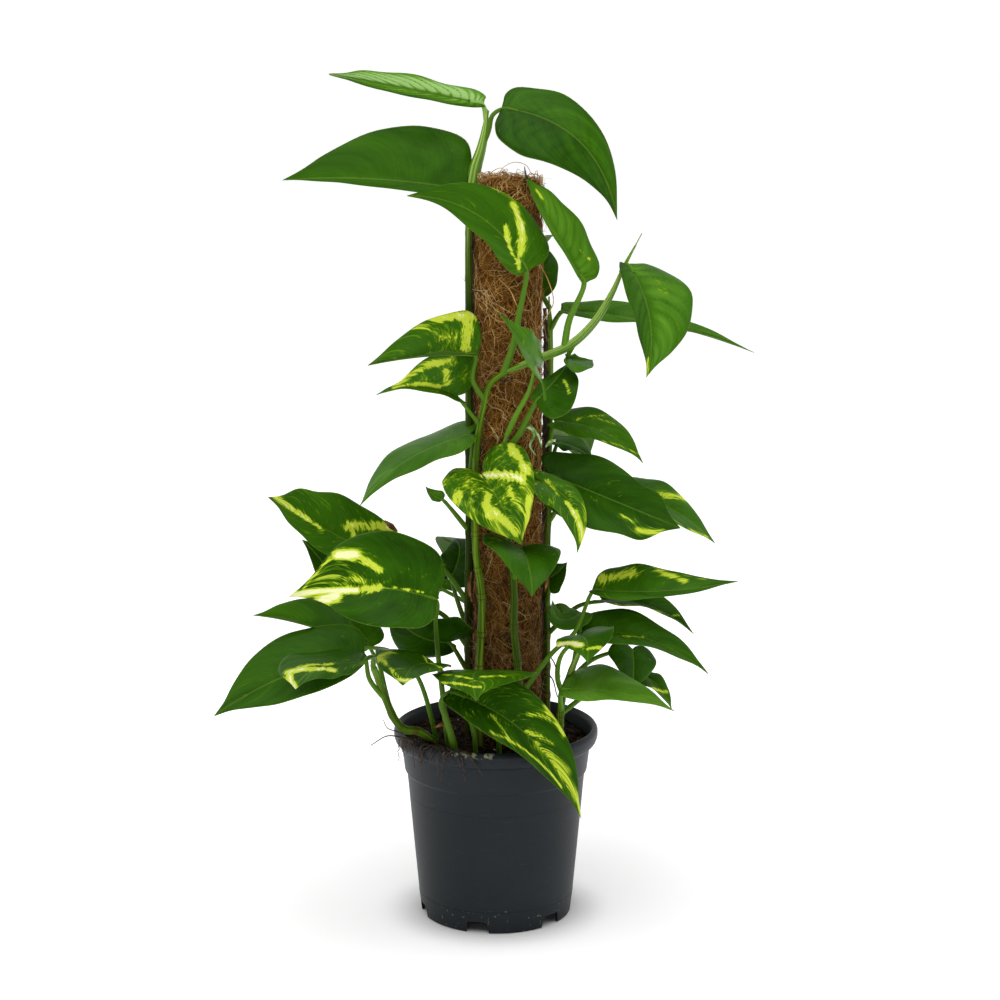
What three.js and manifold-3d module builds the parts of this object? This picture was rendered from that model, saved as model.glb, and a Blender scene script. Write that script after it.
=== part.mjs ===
// A climbing pothos on a coir pole, in a plastic nursery pot. Millimetres, +Z up.
import * as THREE from "three";
import { mergeVertices } from "three/addons/utils/BufferGeometryUtils.js";
import Module from "manifold-3d";

const wasm = await Module();
wasm.setup();

// Driving dimensions
const GAP = 0.3; // clearance left between two pieces that touch
const POT_HEIGHT = 141;
const RIM_RADIUS = 74.5;
const FOOT_RADIUS = 55;
const POT_WALL = 1.6;
const SKIRT_HEIGHT = 10; // the foot skirt under the pot's floor
const NOTCH_COUNT = 6;
const NOTCH_WIDTH = 17;
const NOTCH_HEIGHT = 8.6;
const NOTCH_TAPER = 1.5; // how far each side of a notch leans in
const NOTCH_DEPTH = 12; // of the cut, which is deeper than the skirt is thick
const NOTCH_TURN = -14; // degrees from the front to the nearest notch
const DRAIN_RADIUS = 5;
const DRAIN_CIRCLE = 38;
const SOIL_TOP = 130;
const SOIL_GAP = 0.7; // the faceted soil stays this far inside the pot's wall
const SOIL_SHOULDER = 4; // how far the soil falls off towards the wall
const SOIL_RINGS = [60, 48, 34, 18];
const CRUMB_HEIGHT = 1.1;
const POLE_X = 8; // the pole stands a little to the right of the pot's axis
const POLE_RADIUS = 23.6;
const POLE_TOP = 537;
const SLEEVE_BOTTOM = 104;
const SHOULDER = 5; // the sleeve's top edge is cut back this much
const SLEEVE_LUMP = 1.1; // how far the sleeve's lumps stand out, with some to spare
const CORE_RADIUS = 11;
const CORE_TOP = 524;
const CORE_BOTTOM = 19.6; // the core stands in the soil, above the pot's floor
const BLADE_THICKNESS = 0.7;
const PETIOLE_RADIUS = 1.7;
const PETIOLE_END = 0.55; // share of the petiole's radius left where it meets the blade
const VINE_RADIUS = 3;
const ROOT_DEPTH = 112; // height at which the stems end inside the soil

// Facets: sides round a body, and the length of one step along a stem
const POT_SIDES = 36;
const DRAIN_SIDES = 8;
const SOIL_SIDES = 24;
const SLEEVE_SIDES = 16;
const SLEEVE_ROWS = 24;
const CORE_SIDES = 20;
const VINE_SIDES = 6;
const VINE_STEP = 18;
const PETIOLE_SIDES = 5;
const PETIOLE_STEP = 13;
const RIBS = 7; // ribs from the midrib to the margin, on each half of a blade
const RIB_STEPS = 2;

const part = new THREE.Group();

const plastic = new THREE.MeshStandardMaterial({ color: 0x2f363a, roughness: 0.5, metalness: 0 });
const earth = new THREE.MeshStandardMaterial({ color: 0x2a1b12, roughness: 1, metalness: 0 });
const wood = new THREE.MeshStandardMaterial({ color: 0x9c7a4e, roughness: 0.8, metalness: 0 });
const coir = new THREE.MeshStandardMaterial({ color: 0x6e4526, roughness: 1, metalness: 0 });
const stemGreen = new THREE.MeshStandardMaterial({ color: 0x5d8a2c, roughness: 0.5, metalness: 0 });
const leafGreen = new THREE.MeshStandardMaterial({ color: 0x1f5a1d, roughness: 0.35, metalness: 0 });

// A closed geometry as a solid that can be joined and cut.
function solid(geometry) {
  const bare = geometry.index ? geometry.toNonIndexed() : geometry.clone();
  bare.deleteAttribute("normal");
  bare.deleteAttribute("uv");
  const welded = mergeVertices(bare, 1e-4);
  return new wasm.Manifold(new wasm.Mesh({
    numProp: 3,
    vertProperties: new Float32Array(welded.attributes.position.array),
    triVerts: new Uint32Array(welded.index.array),
  }));
}

function addNode(name, shape, material) {
  const { numProp, vertProperties, triVerts } = shape.getMesh();
  const corners = new Float32Array((vertProperties.length / numProp) * 3);
  for (let i = 0; i < corners.length / 3; i += 1) {
    for (let axis = 0; axis < 3; axis += 1) {
      corners[3 * i + axis] = vertProperties[numProp * i + axis];
    }
  }
  const geometry = new THREE.BufferGeometry();
  geometry.setAttribute("position", new THREE.BufferAttribute(corners, 3));
  geometry.setIndex(new THREE.BufferAttribute(new Uint32Array(triVerts), 1));
  geometry.computeVertexNormals();
  const mesh = new THREE.Mesh(geometry, material);
  mesh.name = name;
  part.add(mesh);
}

// A closed body of revolution about the z axis, from [radius, height] pairs that run anticlockwise.
function turned(profile, segments) {
  const points = profile.map(([radius, height]) => new THREE.Vector2(radius, height));
  return new THREE.LatheGeometry(points, segments).rotateX(Math.PI / 2);
}

// Pot: an injection-moulded cup with a rolled lip, a collar, a tapered wall and a notched foot skirt.
const POT_FLOOR = SKIRT_HEIGHT + POT_WALL;
const COLLAR_BOTTOM = POT_HEIGHT - 33;
const COLLAR_TOP = POT_HEIGHT - 14;
const potInside = [
  [RIM_RADIUS - 5, POT_HEIGHT - 3],
  [RIM_RADIUS - 7.6, COLLAR_TOP],
  [RIM_RADIUS - 10.4, COLLAR_BOTTOM],
  [FOOT_RADIUS - 0.9, POT_FLOOR],
];
const potProfile = [
  [0, SKIRT_HEIGHT],
  [FOOT_RADIUS - 2, SKIRT_HEIGHT],
  [FOOT_RADIUS - 2, 0],
  [FOOT_RADIUS, 0],
  [FOOT_RADIUS + 0.8, SKIRT_HEIGHT - 0.4],
  [FOOT_RADIUS + 1.4, SKIRT_HEIGHT + 0.6],
  [RIM_RADIUS - 9.4, COLLAR_BOTTOM - 1],
  [RIM_RADIUS - 7.8, COLLAR_BOTTOM + 0.6],
  [RIM_RADIUS - 5.6, COLLAR_TOP],
  [RIM_RADIUS - 1.2, COLLAR_TOP + 3],
  [RIM_RADIUS, COLLAR_TOP + 7],
  [RIM_RADIUS, POT_HEIGHT - 3],
  [RIM_RADIUS - 1.2, POT_HEIGHT - 0.8],
  [RIM_RADIUS - 3, POT_HEIGHT],
  ...potInside,
  [0, POT_FLOOR],
];

function makePot() {
  let pot = solid(turned(potProfile, POT_SIDES));
  for (let i = 0; i < NOTCH_COUNT; i += 1) {
    const turn = THREE.MathUtils.degToRad(NOTCH_TURN - 90 + (360 / NOTCH_COUNT) * i);
    const outline = new THREE.Shape();
    outline.moveTo(-NOTCH_WIDTH / 2, -1);
    outline.lineTo(NOTCH_WIDTH / 2, -1);
    outline.lineTo(NOTCH_WIDTH / 2 - NOTCH_TAPER, NOTCH_HEIGHT);
    outline.lineTo(NOTCH_TAPER - NOTCH_WIDTH / 2, NOTCH_HEIGHT);
    const notch = new THREE.ExtrudeGeometry(outline, { depth: NOTCH_DEPTH, bevelEnabled: false });
    notch.rotateX(Math.PI / 2);
    notch.translate(0, FOOT_RADIUS + NOTCH_DEPTH / 2, 0);
    notch.rotateZ(turn - Math.PI / 2);
    const drain = new THREE.CylinderGeometry(DRAIN_RADIUS, DRAIN_RADIUS, 4 * POT_WALL, DRAIN_SIDES);
    drain.rotateX(Math.PI / 2);
    drain.translate(DRAIN_CIRCLE, 0, SKIRT_HEIGHT + POT_WALL / 2);
    drain.rotateZ(turn);
    pot = pot.subtract(solid(notch)).subtract(solid(drain));
  }
  return pot;
}

// A round stem along a smooth curve, from one radius to another, closed at both ends.
function stem(points, startRadius, endRadius, sides, stepLength) {
  const curve = new THREE.CatmullRomCurve3(points.map((point) => new THREE.Vector3(...point)));
  const steps = Math.max(4, Math.round(curve.getLength() / stepLength));
  const frames = curve.computeFrenetFrames(steps, false);
  const corners = [];
  for (let i = 0; i <= steps; i += 1) {
    const centre = curve.getPointAt(i / steps);
    const radius = THREE.MathUtils.lerp(startRadius, endRadius, (i / steps) ** 1.5);
    for (let j = 0; j < sides; j += 1) {
      const angle = (2 * Math.PI * j) / sides;
      const corner = centre.clone();
      corner.addScaledVector(frames.normals[i], radius * Math.cos(angle));
      corner.addScaledVector(frames.binormals[i], radius * Math.sin(angle));
      corners.push(...corner.toArray());
    }
  }
  const start = corners.length / 3;
  corners.push(...curve.getPointAt(0).toArray(), ...curve.getPointAt(1).toArray());
  const faces = [];
  for (let j = 0; j < sides; j += 1) {
    const next = (j + 1) % sides;
    faces.push(start, next, j);
    faces.push(start + 1, steps * sides + j, steps * sides + next);
    for (let i = 0; i < steps; i += 1) {
      const low = i * sides;
      const high = low + sides;
      faces.push(low + j, low + next, high + next);
      faces.push(low + j, high + next, high + j);
    }
  }
  const geometry = new THREE.BufferGeometry();
  geometry.setAttribute("position", new THREE.BufferAttribute(new Float32Array(corners), 3));
  geometry.setIndex(faces);
  return solid(geometry);
}

// Vines: each climbs the pole from the soil, or arches out over the rim. Points are x, y, z.
const vines = {
  front_vine: {
    radius: VINE_RADIUS,
    tip: 1.2,
    points: [[-12, -27, ROOT_DEPTH], [-12, -26, 150], [-12, -25, 188], [-10, -25, 241], [-14, -23, 274],
      [-15, -22, 314], [-13, -24, 353], [-9, -26, 378], [-4, -29, 396], [10, -33, 407], [30, -34, 414],
      [52, -30, 424], [69, -27, 440], [81, -25, 460], [89, -25, 478], [101, -26, 501]],
  },
  middle_vine: {
    radius: VINE_RADIUS,
    tip: 2.2,
    points: [[18, -30, ROOT_DEPTH], [17, -30, 150], [16, -29, 188], [13, -30, 220], [13, -30, 250],
      [9, -30, 285], [6, -30, 320], [5, -30, 345], [9, -31, 366]],
  },
  top_vine: {
    radius: VINE_RADIUS,
    tip: 2.2,
    points: [[-20, 8, ROOT_DEPTH], [-20, 6, 182], [-20, 0, 232], [-19, -8, 277], [-19, -9, 322],
      [-19, -9, 380], [-19, -8, 452], [-19, -9, 494], [-18, -12, 522], [-14, -8, 545], [-8, -6, 566],
      [-5, -6, 584]],
  },
  right_vine: {
    radius: VINE_RADIUS,
    tip: 2,
    points: [[37, 8, ROOT_DEPTH], [37, 10, 183], [37, 12, 231], [37, 14, 268], [38, 14, 305],
      [38, 14, 342], [39, 16, 378], [39, 18, 414], [38, 20, 452]],
  },
  back_vine: {
    radius: VINE_RADIUS,
    tip: 2,
    points: [[6, 33, ROOT_DEPTH], [4, 30, 180], [8, 30, 260], [13, 30, 340], [6, 30, 420],
      [8, 30, 490]],
  },
  left_shoot: {
    radius: 3.2,
    tip: 2.4,
    points: [[-37, -33, ROOT_DEPTH], [-42, -38, 134], [-54, -46, 149], [-65, -50, 152], [-72, -50, 160],
      [-77, -50, 172], [-82, -50, 186], [-88, -50, 202]],
  },
  right_shoot: {
    radius: VINE_RADIUS,
    tip: 2.2,
    points: [[45, -34, ROOT_DEPTH], [46, -33, 150], [48, -32, 172], [53, -31, 187], [60, -30, 206]],
  },
};

function vineSolid(vine, extra) {
  return stem(vine.points, vine.radius + extra, vine.tip + extra, VINE_SIDES, VINE_STEP);
}

// The point on a vine's middle line at a height.
function pointOnVine(vine, height) {
  const curve = new THREE.CatmullRomCurve3(vine.points.map((point) => new THREE.Vector3(...point)));
  let low = 0;
  let high = 1;
  for (let i = 0; i < 30; i += 1) {
    const middle = (low + high) / 2;
    const tooLow = curve.getPoint(middle).z < height;
    low = tooLow ? middle : low;
    high = tooLow ? high : middle;
  }
  return curve.getPoint(low).toArray();
}

// Flat outline of half a blade: distance along the midrib (0 at the stalk, 1 at the tip) and share of
// the half's width, for the points of the margin. lobe: how far the base reaches back behind the
// stalk; belly: how much nearer to the tip the widest part lies; tail: how full the blade's end is.
function marginOf({ lobe = 0.11, belly = 0, tail = 1 }) {
  const points = [
    [0, 0], [-0.82 * lobe, 0.2], [-lobe, 0.52], [0.05 - 0.45 * lobe + 0.4 * belly, 0.84],
    [0.2 - 0.25 * lobe + belly, 1], [0.36 + belly, 0.94], [0.56 + 0.8 * belly, 0.73],
    [0.75 + 0.4 * belly, 0.42 * tail], [0.89 + 0.1 * belly, 0.15 * tail], [1, 0],
  ];
  return new THREE.SplineCurve(points.map(([along, across]) => new THREE.Vector2(along, across)));
}

// Where a point of the flat blade lies once the blade is folded, arched, bent and waved.
function bladeFrame(leaf) {
  const base = new THREE.Vector3(...leaf.base);
  const reach = new THREE.Vector3(...leaf.tip).sub(base);
  const axis = reach.clone().normalize();
  const face = new THREE.Vector3(...leaf.face);
  face.addScaledVector(axis, -face.dot(axis)).normalize();
  const side = axis.clone().cross(face);
  return { base, reach, length: reach.length(), face, side };
}

function bladePoint(leaf, frame, along, across) {
  const { arch = 6, bend = 0, fold = 12, curl = 3, wave = 1.5, twist = 0 } = leaf;
  const held = THREE.MathUtils.clamp(along, 0, 1);
  const rise = 4 * held * (1 - held);
  const slope = 4 * (1 - 2 * held);
  const tangent = frame.reach.clone();
  tangent.addScaledVector(frame.face, arch * slope).addScaledVector(frame.side, bend * slope);
  const centre = frame.base.clone().addScaledVector(frame.reach, held);
  centre.addScaledVector(frame.face, arch * rise).addScaledVector(frame.side, bend * rise);
  tangent.normalize();
  centre.addScaledVector(tangent, (along - held) * frame.length);
  const turn = THREE.MathUtils.degToRad(twist * held);
  const side = frame.side.clone().multiplyScalar(Math.cos(turn));
  side.addScaledVector(frame.face, Math.sin(turn));
  side.addScaledVector(tangent, -side.dot(tangent)).normalize();
  const up = side.clone().cross(tangent);
  const half = across < 0 ? leaf.halves[0] : leaf.halves[1];
  const out = Math.abs(across);
  const slant = THREE.MathUtils.degToRad(fold);
  const ripple = wave * Math.sin(11 * along + 2 * Math.sign(across)) * out ** 3;
  centre.addScaledVector(side, across * half * Math.cos(slant));
  centre.addScaledVector(up, out * half * Math.sin(slant) - curl * out ** 2 + ripple);
  return { point: centre, up };
}

function bladeNormal(leaf, frame, along, across) {
  if (Math.abs(across) < 1e-6) return bladePoint(leaf, frame, along, 0).up;
  const step = 0.01;
  const ahead = bladePoint(leaf, frame, along + step, across).point;
  ahead.sub(bladePoint(leaf, frame, along - step, across).point);
  const outer = bladePoint(leaf, frame, along, across + step).point;
  outer.sub(bladePoint(leaf, frame, along, across - step).point);
  return outer.cross(ahead).normalize();
}

// One blade as a thin closed solid: two sheets split into triangles alike, joined round the margin.
function blade(leaf) {
  const frame = bladeFrame(leaf);
  const margin = marginOf(leaf);
  const flat = [[0, 0]];
  const ribStart = [0];
  for (let i = 1; i < RIBS; i += 1) {
    const edge = margin.getPoint(i / RIBS);
    const root = (i / RIBS) ** 1.2;
    ribStart.push(flat.length);
    flat.push([root, 0]);
    for (const hand of [-1, 1]) {
      for (let j = 1; j <= RIB_STEPS; j += 1) {
        const share = j / RIB_STEPS;
        flat.push([THREE.MathUtils.lerp(root, edge.x, share), hand * edge.y * share]);
      }
    }
  }
  ribStart.push(flat.length);
  flat.push([1, 0]);

  const sheet = [];
  const rim = [];
  const ribPoint = (rib, hand, step) => {
    if (step === 0 || rib === 0 || rib === RIBS) return ribStart[rib];
    return ribStart[rib] + step + (hand > 0 ? RIB_STEPS : 0);
  };
  for (const hand of [-1, 1]) {
    for (let rib = 0; rib < RIBS; rib += 1) {
      for (let step = 0; step < RIB_STEPS; step += 1) {
        const near = ribPoint(rib, hand, step);
        const far = ribPoint(rib, hand, step + 1);
        const nextNear = ribPoint(rib + 1, hand, step);
        const nextFar = ribPoint(rib + 1, hand, step + 1);
        const triangles = [[near, far, nextFar], [near, nextFar, nextNear]];
        for (const [a, b, c] of triangles) {
          if (a === b || b === c || c === a) continue;
          sheet.push(hand > 0 ? [a, b, c] : [a, c, b]);
        }
      }
      const from = ribPoint(rib, hand, RIB_STEPS);
      const to = ribPoint(rib + 1, hand, RIB_STEPS);
      rim.push(hand > 0 ? [from, to] : [to, from]);
    }
  }

  const corners = [];
  for (const half of [1, -1]) {
    for (const [along, across] of flat) {
      const { point } = bladePoint(leaf, frame, along, across);
      const normal = bladeNormal(leaf, frame, along, across);
      point.addScaledVector(normal, (half * BLADE_THICKNESS) / 2);
      corners.push(...point.toArray());
    }
  }
  const under = flat.length;
  const faces = [];
  for (const [a, b, c] of sheet) {
    faces.push(a, b, c);
    faces.push(a + under, c + under, b + under);
  }
  for (const [a, b] of rim) {
    faces.push(a, a + under, b + under);
    faces.push(a, b + under, b);
  }
  const geometry = new THREE.BufferGeometry();
  geometry.setAttribute("position", new THREE.BufferAttribute(new Float32Array(corners), 3));
  geometry.setIndex(faces);
  return solid(geometry);
}

// The stalk's route: out of its stem, through its own bends, and under the first of the midrib.
function stalkRoute(leaf) {
  const frame = bladeFrame(leaf);
  const start = leaf.stem ? pointOnVine(vines[leaf.stem], leaf.from) : leaf.from;
  const sink = PETIOLE_RADIUS * PETIOLE_END; // so that the stalk's upper side runs into the blade
  const foot = bladePoint(leaf, frame, 0.01, 0);
  const end = bladePoint(leaf, frame, 0.09, 0);
  foot.point.addScaledVector(foot.up, -sink);
  end.point.addScaledVector(end.up, -0.6 * sink);
  return [start, ...(leaf.via ?? []), foot.point.toArray(), end.point.toArray()];
}

function stalkSolid(leaf, extra) {
  const radius = leaf.stalk ?? PETIOLE_RADIUS;
  const end = radius * PETIOLE_END;
  return stem(stalkRoute(leaf), radius + extra, end + extra, PETIOLE_SIDES, PETIOLE_STEP);
}

// Leaves, by the stem that carries them. from: height on the stem, or the foot in the soil; via: bends
// of the stalk; base: where the stalk meets the blade; tip: the blade's end; face: the way the upper
// side looks; halves: half widths left and right of the midrib, seen from above with the tip ahead;
// arch and bend: how far the midrib bows up and sideways; fold: degrees that each half is lifted;
// twist: degrees that the blade has turned by its tip; curl: how far the margins droop.
const leaves = {
  top_vine_leaf_1: {
    stem: "top_vine", from: 576, base: [-8, -5, 589], tip: [-114, -20, 610],
    face: [-0.4, -0.6, 0.7], halves: [8, 13], arch: 0, fold: 30, lobe: 0, belly: 0.1, tail: 1.4,
    twist: 25,
  },
  top_vine_leaf_2: {
    stem: "top_vine", from: 556, via: [[1, -6, 573]], base: [4, -7, 586], tip: [84, -25, 510],
    face: [0.2, -0.9, 0.5], halves: [24, 34], arch: 14, bend: -16, fold: 6, lobe: 0,
  },
  top_vine_leaf_3: {
    stem: "top_vine", from: 500, base: [-20, -16, 530], tip: [-146, -35, 538],
    face: [-0.1, -0.8, 0.6], halves: [8, 44], arch: 0, bend: 5, fold: 16, lobe: 0,
  },
  top_vine_leaf_4: {
    stem: "top_vine", from: 318, base: [-18, -24, 360], tip: [-94, -58, 316],
    face: [-0.1, -0.2, 1], halves: [19, 30], arch: 3, bend: 13, fold: 0, lobe: 0.05,
  },
  top_vine_leaf_5: {
    stem: "top_vine", from: 286, base: [-38, -16, 311], tip: [-50, -16, 321],
    face: [-0.6, -0.8, 0], halves: [6, 6], arch: 2, lobe: 0, wave: 0.5,
  },
  top_vine_leaf_6: {
    stem: "top_vine", from: 210, via: [[-27, 10, 228]], base: [-33, 24, 245], tip: [-32, 45, 270],
    face: [-0.2, -0.5, 0.9], halves: [14, 16], arch: 9, bend: 8, fold: 22,
  },
  top_vine_leaf_7: {
    stem: "top_vine", from: 178, base: [-34, -10, 205], tip: [-76, -34, 237],
    face: [-0.7, -0.6, 0.4], halves: [25, 33], arch: 6, bend: -4, fold: 8, lobe: 0.2,
  },
  top_vine_leaf_8: {
    stem: "top_vine", from: 232, via: [[-44, 0, 262]], base: [-88, -20, 273], tip: [-160, -35, 317],
    face: [-0.2, -0.6, 0.8], halves: [26, 31], arch: -1, fold: 22, lobe: 0.25, belly: 0.1, tail: 1.4,
  },
  top_vine_leaf_9: {
    stem: "top_vine", from: 196, via: [[-40, 8, 222], [-76, 10, 230]], base: [-112, 14, 235],
    tip: [-140, 4, 278], face: [0, -0.7, 0.7], halves: [13, 25], arch: 6, lobe: 0.05,
  },
  front_vine_leaf_1: {
    stem: "front_vine", from: 384, via: [[-16, -32, 400]], base: [-13, -35, 418],
    tip: [-88, -53, 413], face: [0.1, -0.4, 0.9], halves: [11, 32], arch: 3, fold: 40, lobe: 0.05,
    belly: -0.1, curl: 0,
  },
  front_vine_leaf_2: {
    stem: "front_vine", from: 366, via: [[-20, -30, 379]], base: [-27, -24, 387],
    tip: [-83, -45, 391], face: [0.4, -0.8, 0.4], halves: [8, 29], arch: 7, bend: 5, fold: 36,
    belly: -0.1, tail: 0.5, twist: 15, curl: 0,
  },
  front_vine_leaf_3: {
    stem: "front_vine", from: 404, via: [[12, -36, 424], [16, -33, 445]], base: [22, -34, 476],
    tip: [-60, -55, 529], face: [0.1, -0.8, 0.6], halves: [19, 28], arch: 3, bend: 15, fold: 20,
    lobe: 0,
  },
  front_vine_leaf_4: {
    stem: "front_vine", from: 421, via: [[51, -25, 440]], base: [62, -32, 467], tip: [20, -24, 541],
    face: [0.4, -0.5, 0.7], halves: [8, 20], arch: -1, fold: 30, lobe: 0, belly: 0.1, tail: 1.3,
    twist: 15, curl: 0,
  },
  front_vine_leaf_5: {
    stem: "front_vine", from: 474, base: [91, -32, 481], tip: [104, -50, 404],
    face: [0.6, -0.5, 0.6], halves: [39, 16], arch: 13, bend: 2, fold: 5, lobe: 0, belly: 0.1,
    twist: -30, curl: 0,
  },
  front_vine_leaf_6: {
    stem: "front_vine", from: 314, via: [[-13, -36, 330]], base: [-9, -44, 334],
    tip: [18, -68, 290], face: [-0.2, -0.7, 0.7], halves: [36, 33], arch: 12, fold: 27, lobe: 0.25,
    curl: 2,
  },
  front_vine_leaf_7: {
    stem: "front_vine", from: 426, base: [50, -24, 414], tip: [68, -18, 412],
    face: [0.1, -0.4, 0.9], halves: [8, 23], arch: 0, bend: 2, fold: 18,
  },
  middle_vine_leaf_1: {
    stem: "middle_vine", from: 360, via: [[14, -40, 376], [23, -46, 394]], base: [28, -54, 412],
    tip: [2, -82, 453], face: [0.8, -0.4, 0.5], halves: [28, 19], arch: 5, bend: -9, fold: 20,
    lobe: 0.3,
  },
  middle_vine_leaf_2: {
    stem: "middle_vine", from: 347, via: [[14, -33, 358]], base: [28, -37, 386],
    tip: [50, -16, 409], face: [-0.2, -0.8, 0.5], halves: [8, 24], arch: 6, bend: 4, lobe: 0.05,
  },
  middle_vine_leaf_3: {
    stem: "middle_vine", from: 305, via: [[18, -44, 325]], base: [32, -51, 331],
    tip: [56, -77, 286], face: [0.3, -0.8, 0.6], halves: [11, 25], arch: 6, bend: -10, fold: 30,
    lobe: 0.2,
  },
  middle_vine_leaf_4: {
    stem: "middle_vine", from: 255, via: [[16, -38, 272]], base: [17, -50, 285],
    tip: [25, -92, 259], face: [0.2, -0.1, 1], halves: [26, 34], arch: 6, fold: 20, lobe: 0,
  },
  middle_vine_leaf_5: {
    stem: "middle_vine", from: 168, via: [[40, -36, 204], [56, -38, 220]], base: [68, -38, 251],
    tip: [170, -50, 260], face: [0, -0.4, 0.9], halves: [26, 8], arch: 5, bend: 13, fold: 18,
    lobe: 0,
  },
  right_vine_leaf_1: {
    stem: "right_vine", from: 428, base: [46, 12, 443], tip: [182, -10, 416],
    face: [-0.3, -0.3, 0.9], halves: [15, 12], arch: 7, fold: 28, lobe: 0, twist: 5, curl: 4,
  },
  right_vine_leaf_2: {
    stem: "right_vine", from: 444, base: [31, 29, 457], tip: [35, 54, 485],
    face: [0.3, -0.7, 0.6], halves: [8, 14], arch: 4, fold: 38, lobe: 0.15,
  },
  right_vine_leaf_3: {
    stem: "right_vine", from: 345, base: [42, -1, 365], tip: [104, -23, 339],
    face: [0, -0.5, 0.9], halves: [20, 12], arch: 7, bend: -4, fold: 18, lobe: 0.05, belly: 0.1,
    curl: 5,
  },
  right_vine_leaf_4: {
    stem: "right_vine", from: 306, base: [38, -17, 330], tip: [129, -50, 298],
    face: [-0.1, -0.6, 0.8], halves: [26, 38], arch: 4, bend: 3, fold: 26, belly: 0.1, tail: 1.5,
    twist: -25,
  },
  right_vine_leaf_5: {
    stem: "right_vine", from: 288, via: [[58, 14, 314]], base: [91, 14, 311], tip: [158, 0, 276],
    face: [0.3, -0.4, 0.9], halves: [25, 27], arch: 10, bend: 4, fold: 15,
  },
  right_vine_leaf_6: {
    stem: "right_vine", from: 324, base: [45, 24, 346], tip: [69, 10, 336],
    face: [0.3, -0.3, 0.9], halves: [15, 8], arch: 1, bend: -3, lobe: 0.2,
  },
  right_vine_leaf_7: {
    stem: "right_vine", from: 225, base: [39, 0, 251], tip: [51, -8, 264], face: [0, -0.8, 0.6],
    halves: [11, 15], arch: 1, bend: 2, fold: 26, lobe: 0,
  },
  right_vine_leaf_8: {
    stem: "right_vine", from: 205, via: [[60, 6, 228]], base: [77, 0, 234], tip: [142, -20, 214],
    face: [-0.1, -0.2, 1], halves: [19, 18], arch: 9, fold: 30, lobe: 0.05,
  },
  right_shoot_leaf_1: {
    stem: "right_shoot", from: 200, base: [61, -26, 217], tip: [151, -45, 191],
    face: [0.3, -0.4, 0.9], halves: [24, 20], arch: 10, bend: -3, fold: 20, lobe: 0,
  },
  right_shoot_leaf_2: {
    stem: "right_shoot", from: 172, via: [[44, -37, 186], [47, -51, 208]], base: [60, -58, 223],
    tip: [63, -90, 212], face: [-0.2, -0.3, 0.9], halves: [22, 21], arch: 3, bend: -3, lobe: 0.2,
  },
  right_shoot_leaf_3: {
    stem: "right_shoot", from: 160, base: [46, -48, 181], tip: [126, -62, 169],
    face: [0.2, -0.4, 0.9], halves: [31, 9], arch: 9, bend: 3, fold: 2, lobe: 0,
  },
  right_shoot_leaf_4: {
    stem: "right_shoot", from: 178, via: [[70, -16, 194]], base: [99, -5, 199], tip: [98, -22, 173],
    face: [0.5, -0.8, 0.4], halves: [19, 21], arch: 2, fold: 9,
  },
  right_shoot_leaf_5: {
    stem: "right_shoot", from: 158, via: [[74, -6, 170]], base: [106, 5, 178], tip: [128, -8, 154],
    face: [0.5, -0.6, 0.6], halves: [9, 13], arch: 5, fold: 22, lobe: 0,
  },
  right_shoot_leaf_6: {
    stem: "right_shoot", from: 195, base: [61, -12, 228], tip: [41, -8, 236],
    face: [-0.5, -0.1, 0.9], halves: [15, 20], arch: -3, bend: -14, lobe: 0.05,
  },
  left_shoot_leaf_1: {
    stem: "left_shoot", from: 172, via: [[-89, -54, 190]], base: [-92, -55, 209],
    tip: [-196, -81, 171], face: [-0.4, -0.6, 0.7], halves: [31, 30], arch: 0, bend: 9, fold: 19,
    lobe: 0, belly: 0.1, twist: 15, curl: 1,
  },
  left_shoot_leaf_2: {
    stem: "left_shoot", from: 198, via: [[-86, -60, 207], [-89, -75, 211]], base: [-93, -86, 211],
    tip: [-135, -124, 203], face: [-0.4, -0.4, 0.8], halves: [21, 35], arch: 2, bend: 13, fold: 3,
    lobe: 0, belly: 0.1, twist: 5,
  },
  left_shoot_leaf_3: {
    stem: "left_shoot", from: 166, via: [[-79, -38, 178], [-84, -17, 190]], base: [-91, 1, 198],
    tip: [-130, 13, 218], face: [0, -0.5, 0.9], halves: [14, 18], arch: 8, bend: 4, fold: 24,
    lobe: 0,
  },
  soil_leaf_1: {
    from: [-30, -38, ROOT_DEPTH],
    via: [[-35, -38, 145], [-38, -39, 176], [-41, -41, 205], [-42, -58, 232]],
    base: [-40, -80, 254], tip: [-141, -100, 261], face: [0, -0.8, 0.6], halves: [31, 41],
    arch: 4, bend: 7, fold: 10, lobe: 0, belly: 0.1, tail: 0.8, twist: 10, curl: 2, stalk: 2,
  },
  soil_leaf_2: {
    from: [-27, -50, ROOT_DEPTH], via: [[-30, -54, 142], [-35, -57, 162], [-38, -58, 175]],
    base: [-33, -61, 183], tip: [60, -81, 96], face: [0.3, -0.8, 0.5], halves: [26, 22],
    arch: 15, bend: -11, fold: 24, lobe: 0, belly: 0.1, curl: 2, stalk: 2.8,
  },
  soil_leaf_3: {
    from: [-40, -18, ROOT_DEPTH], via: [[-46, -22, 150], [-58, -23, 186], [-76, -22, 202]],
    base: [-99, -17, 204], tip: [-170, -56, 237], face: [0.1, 0, 1], halves: [8, 31], arch: 4,
    fold: 42, lobe: 0,
  },
  soil_leaf_4: {
    from: [-14, -48, ROOT_DEPTH], via: [[-16, -48, 150], [-28, -47, 180], [-39, -48, 195]],
    base: [-43, -56, 202], tip: [-63, -112, 202], face: [0.1, -0.2, 1], halves: [21, 33],
    arch: 4, bend: 5, lobe: 0.05, belly: 0.1, tail: 1.3, twist: -5, curl: 2,
  },
  soil_leaf_5: {
    from: [2, -44, ROOT_DEPTH], via: [[2, -45, 150], [-2, -50, 188]], base: [-8, -48, 194],
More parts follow.
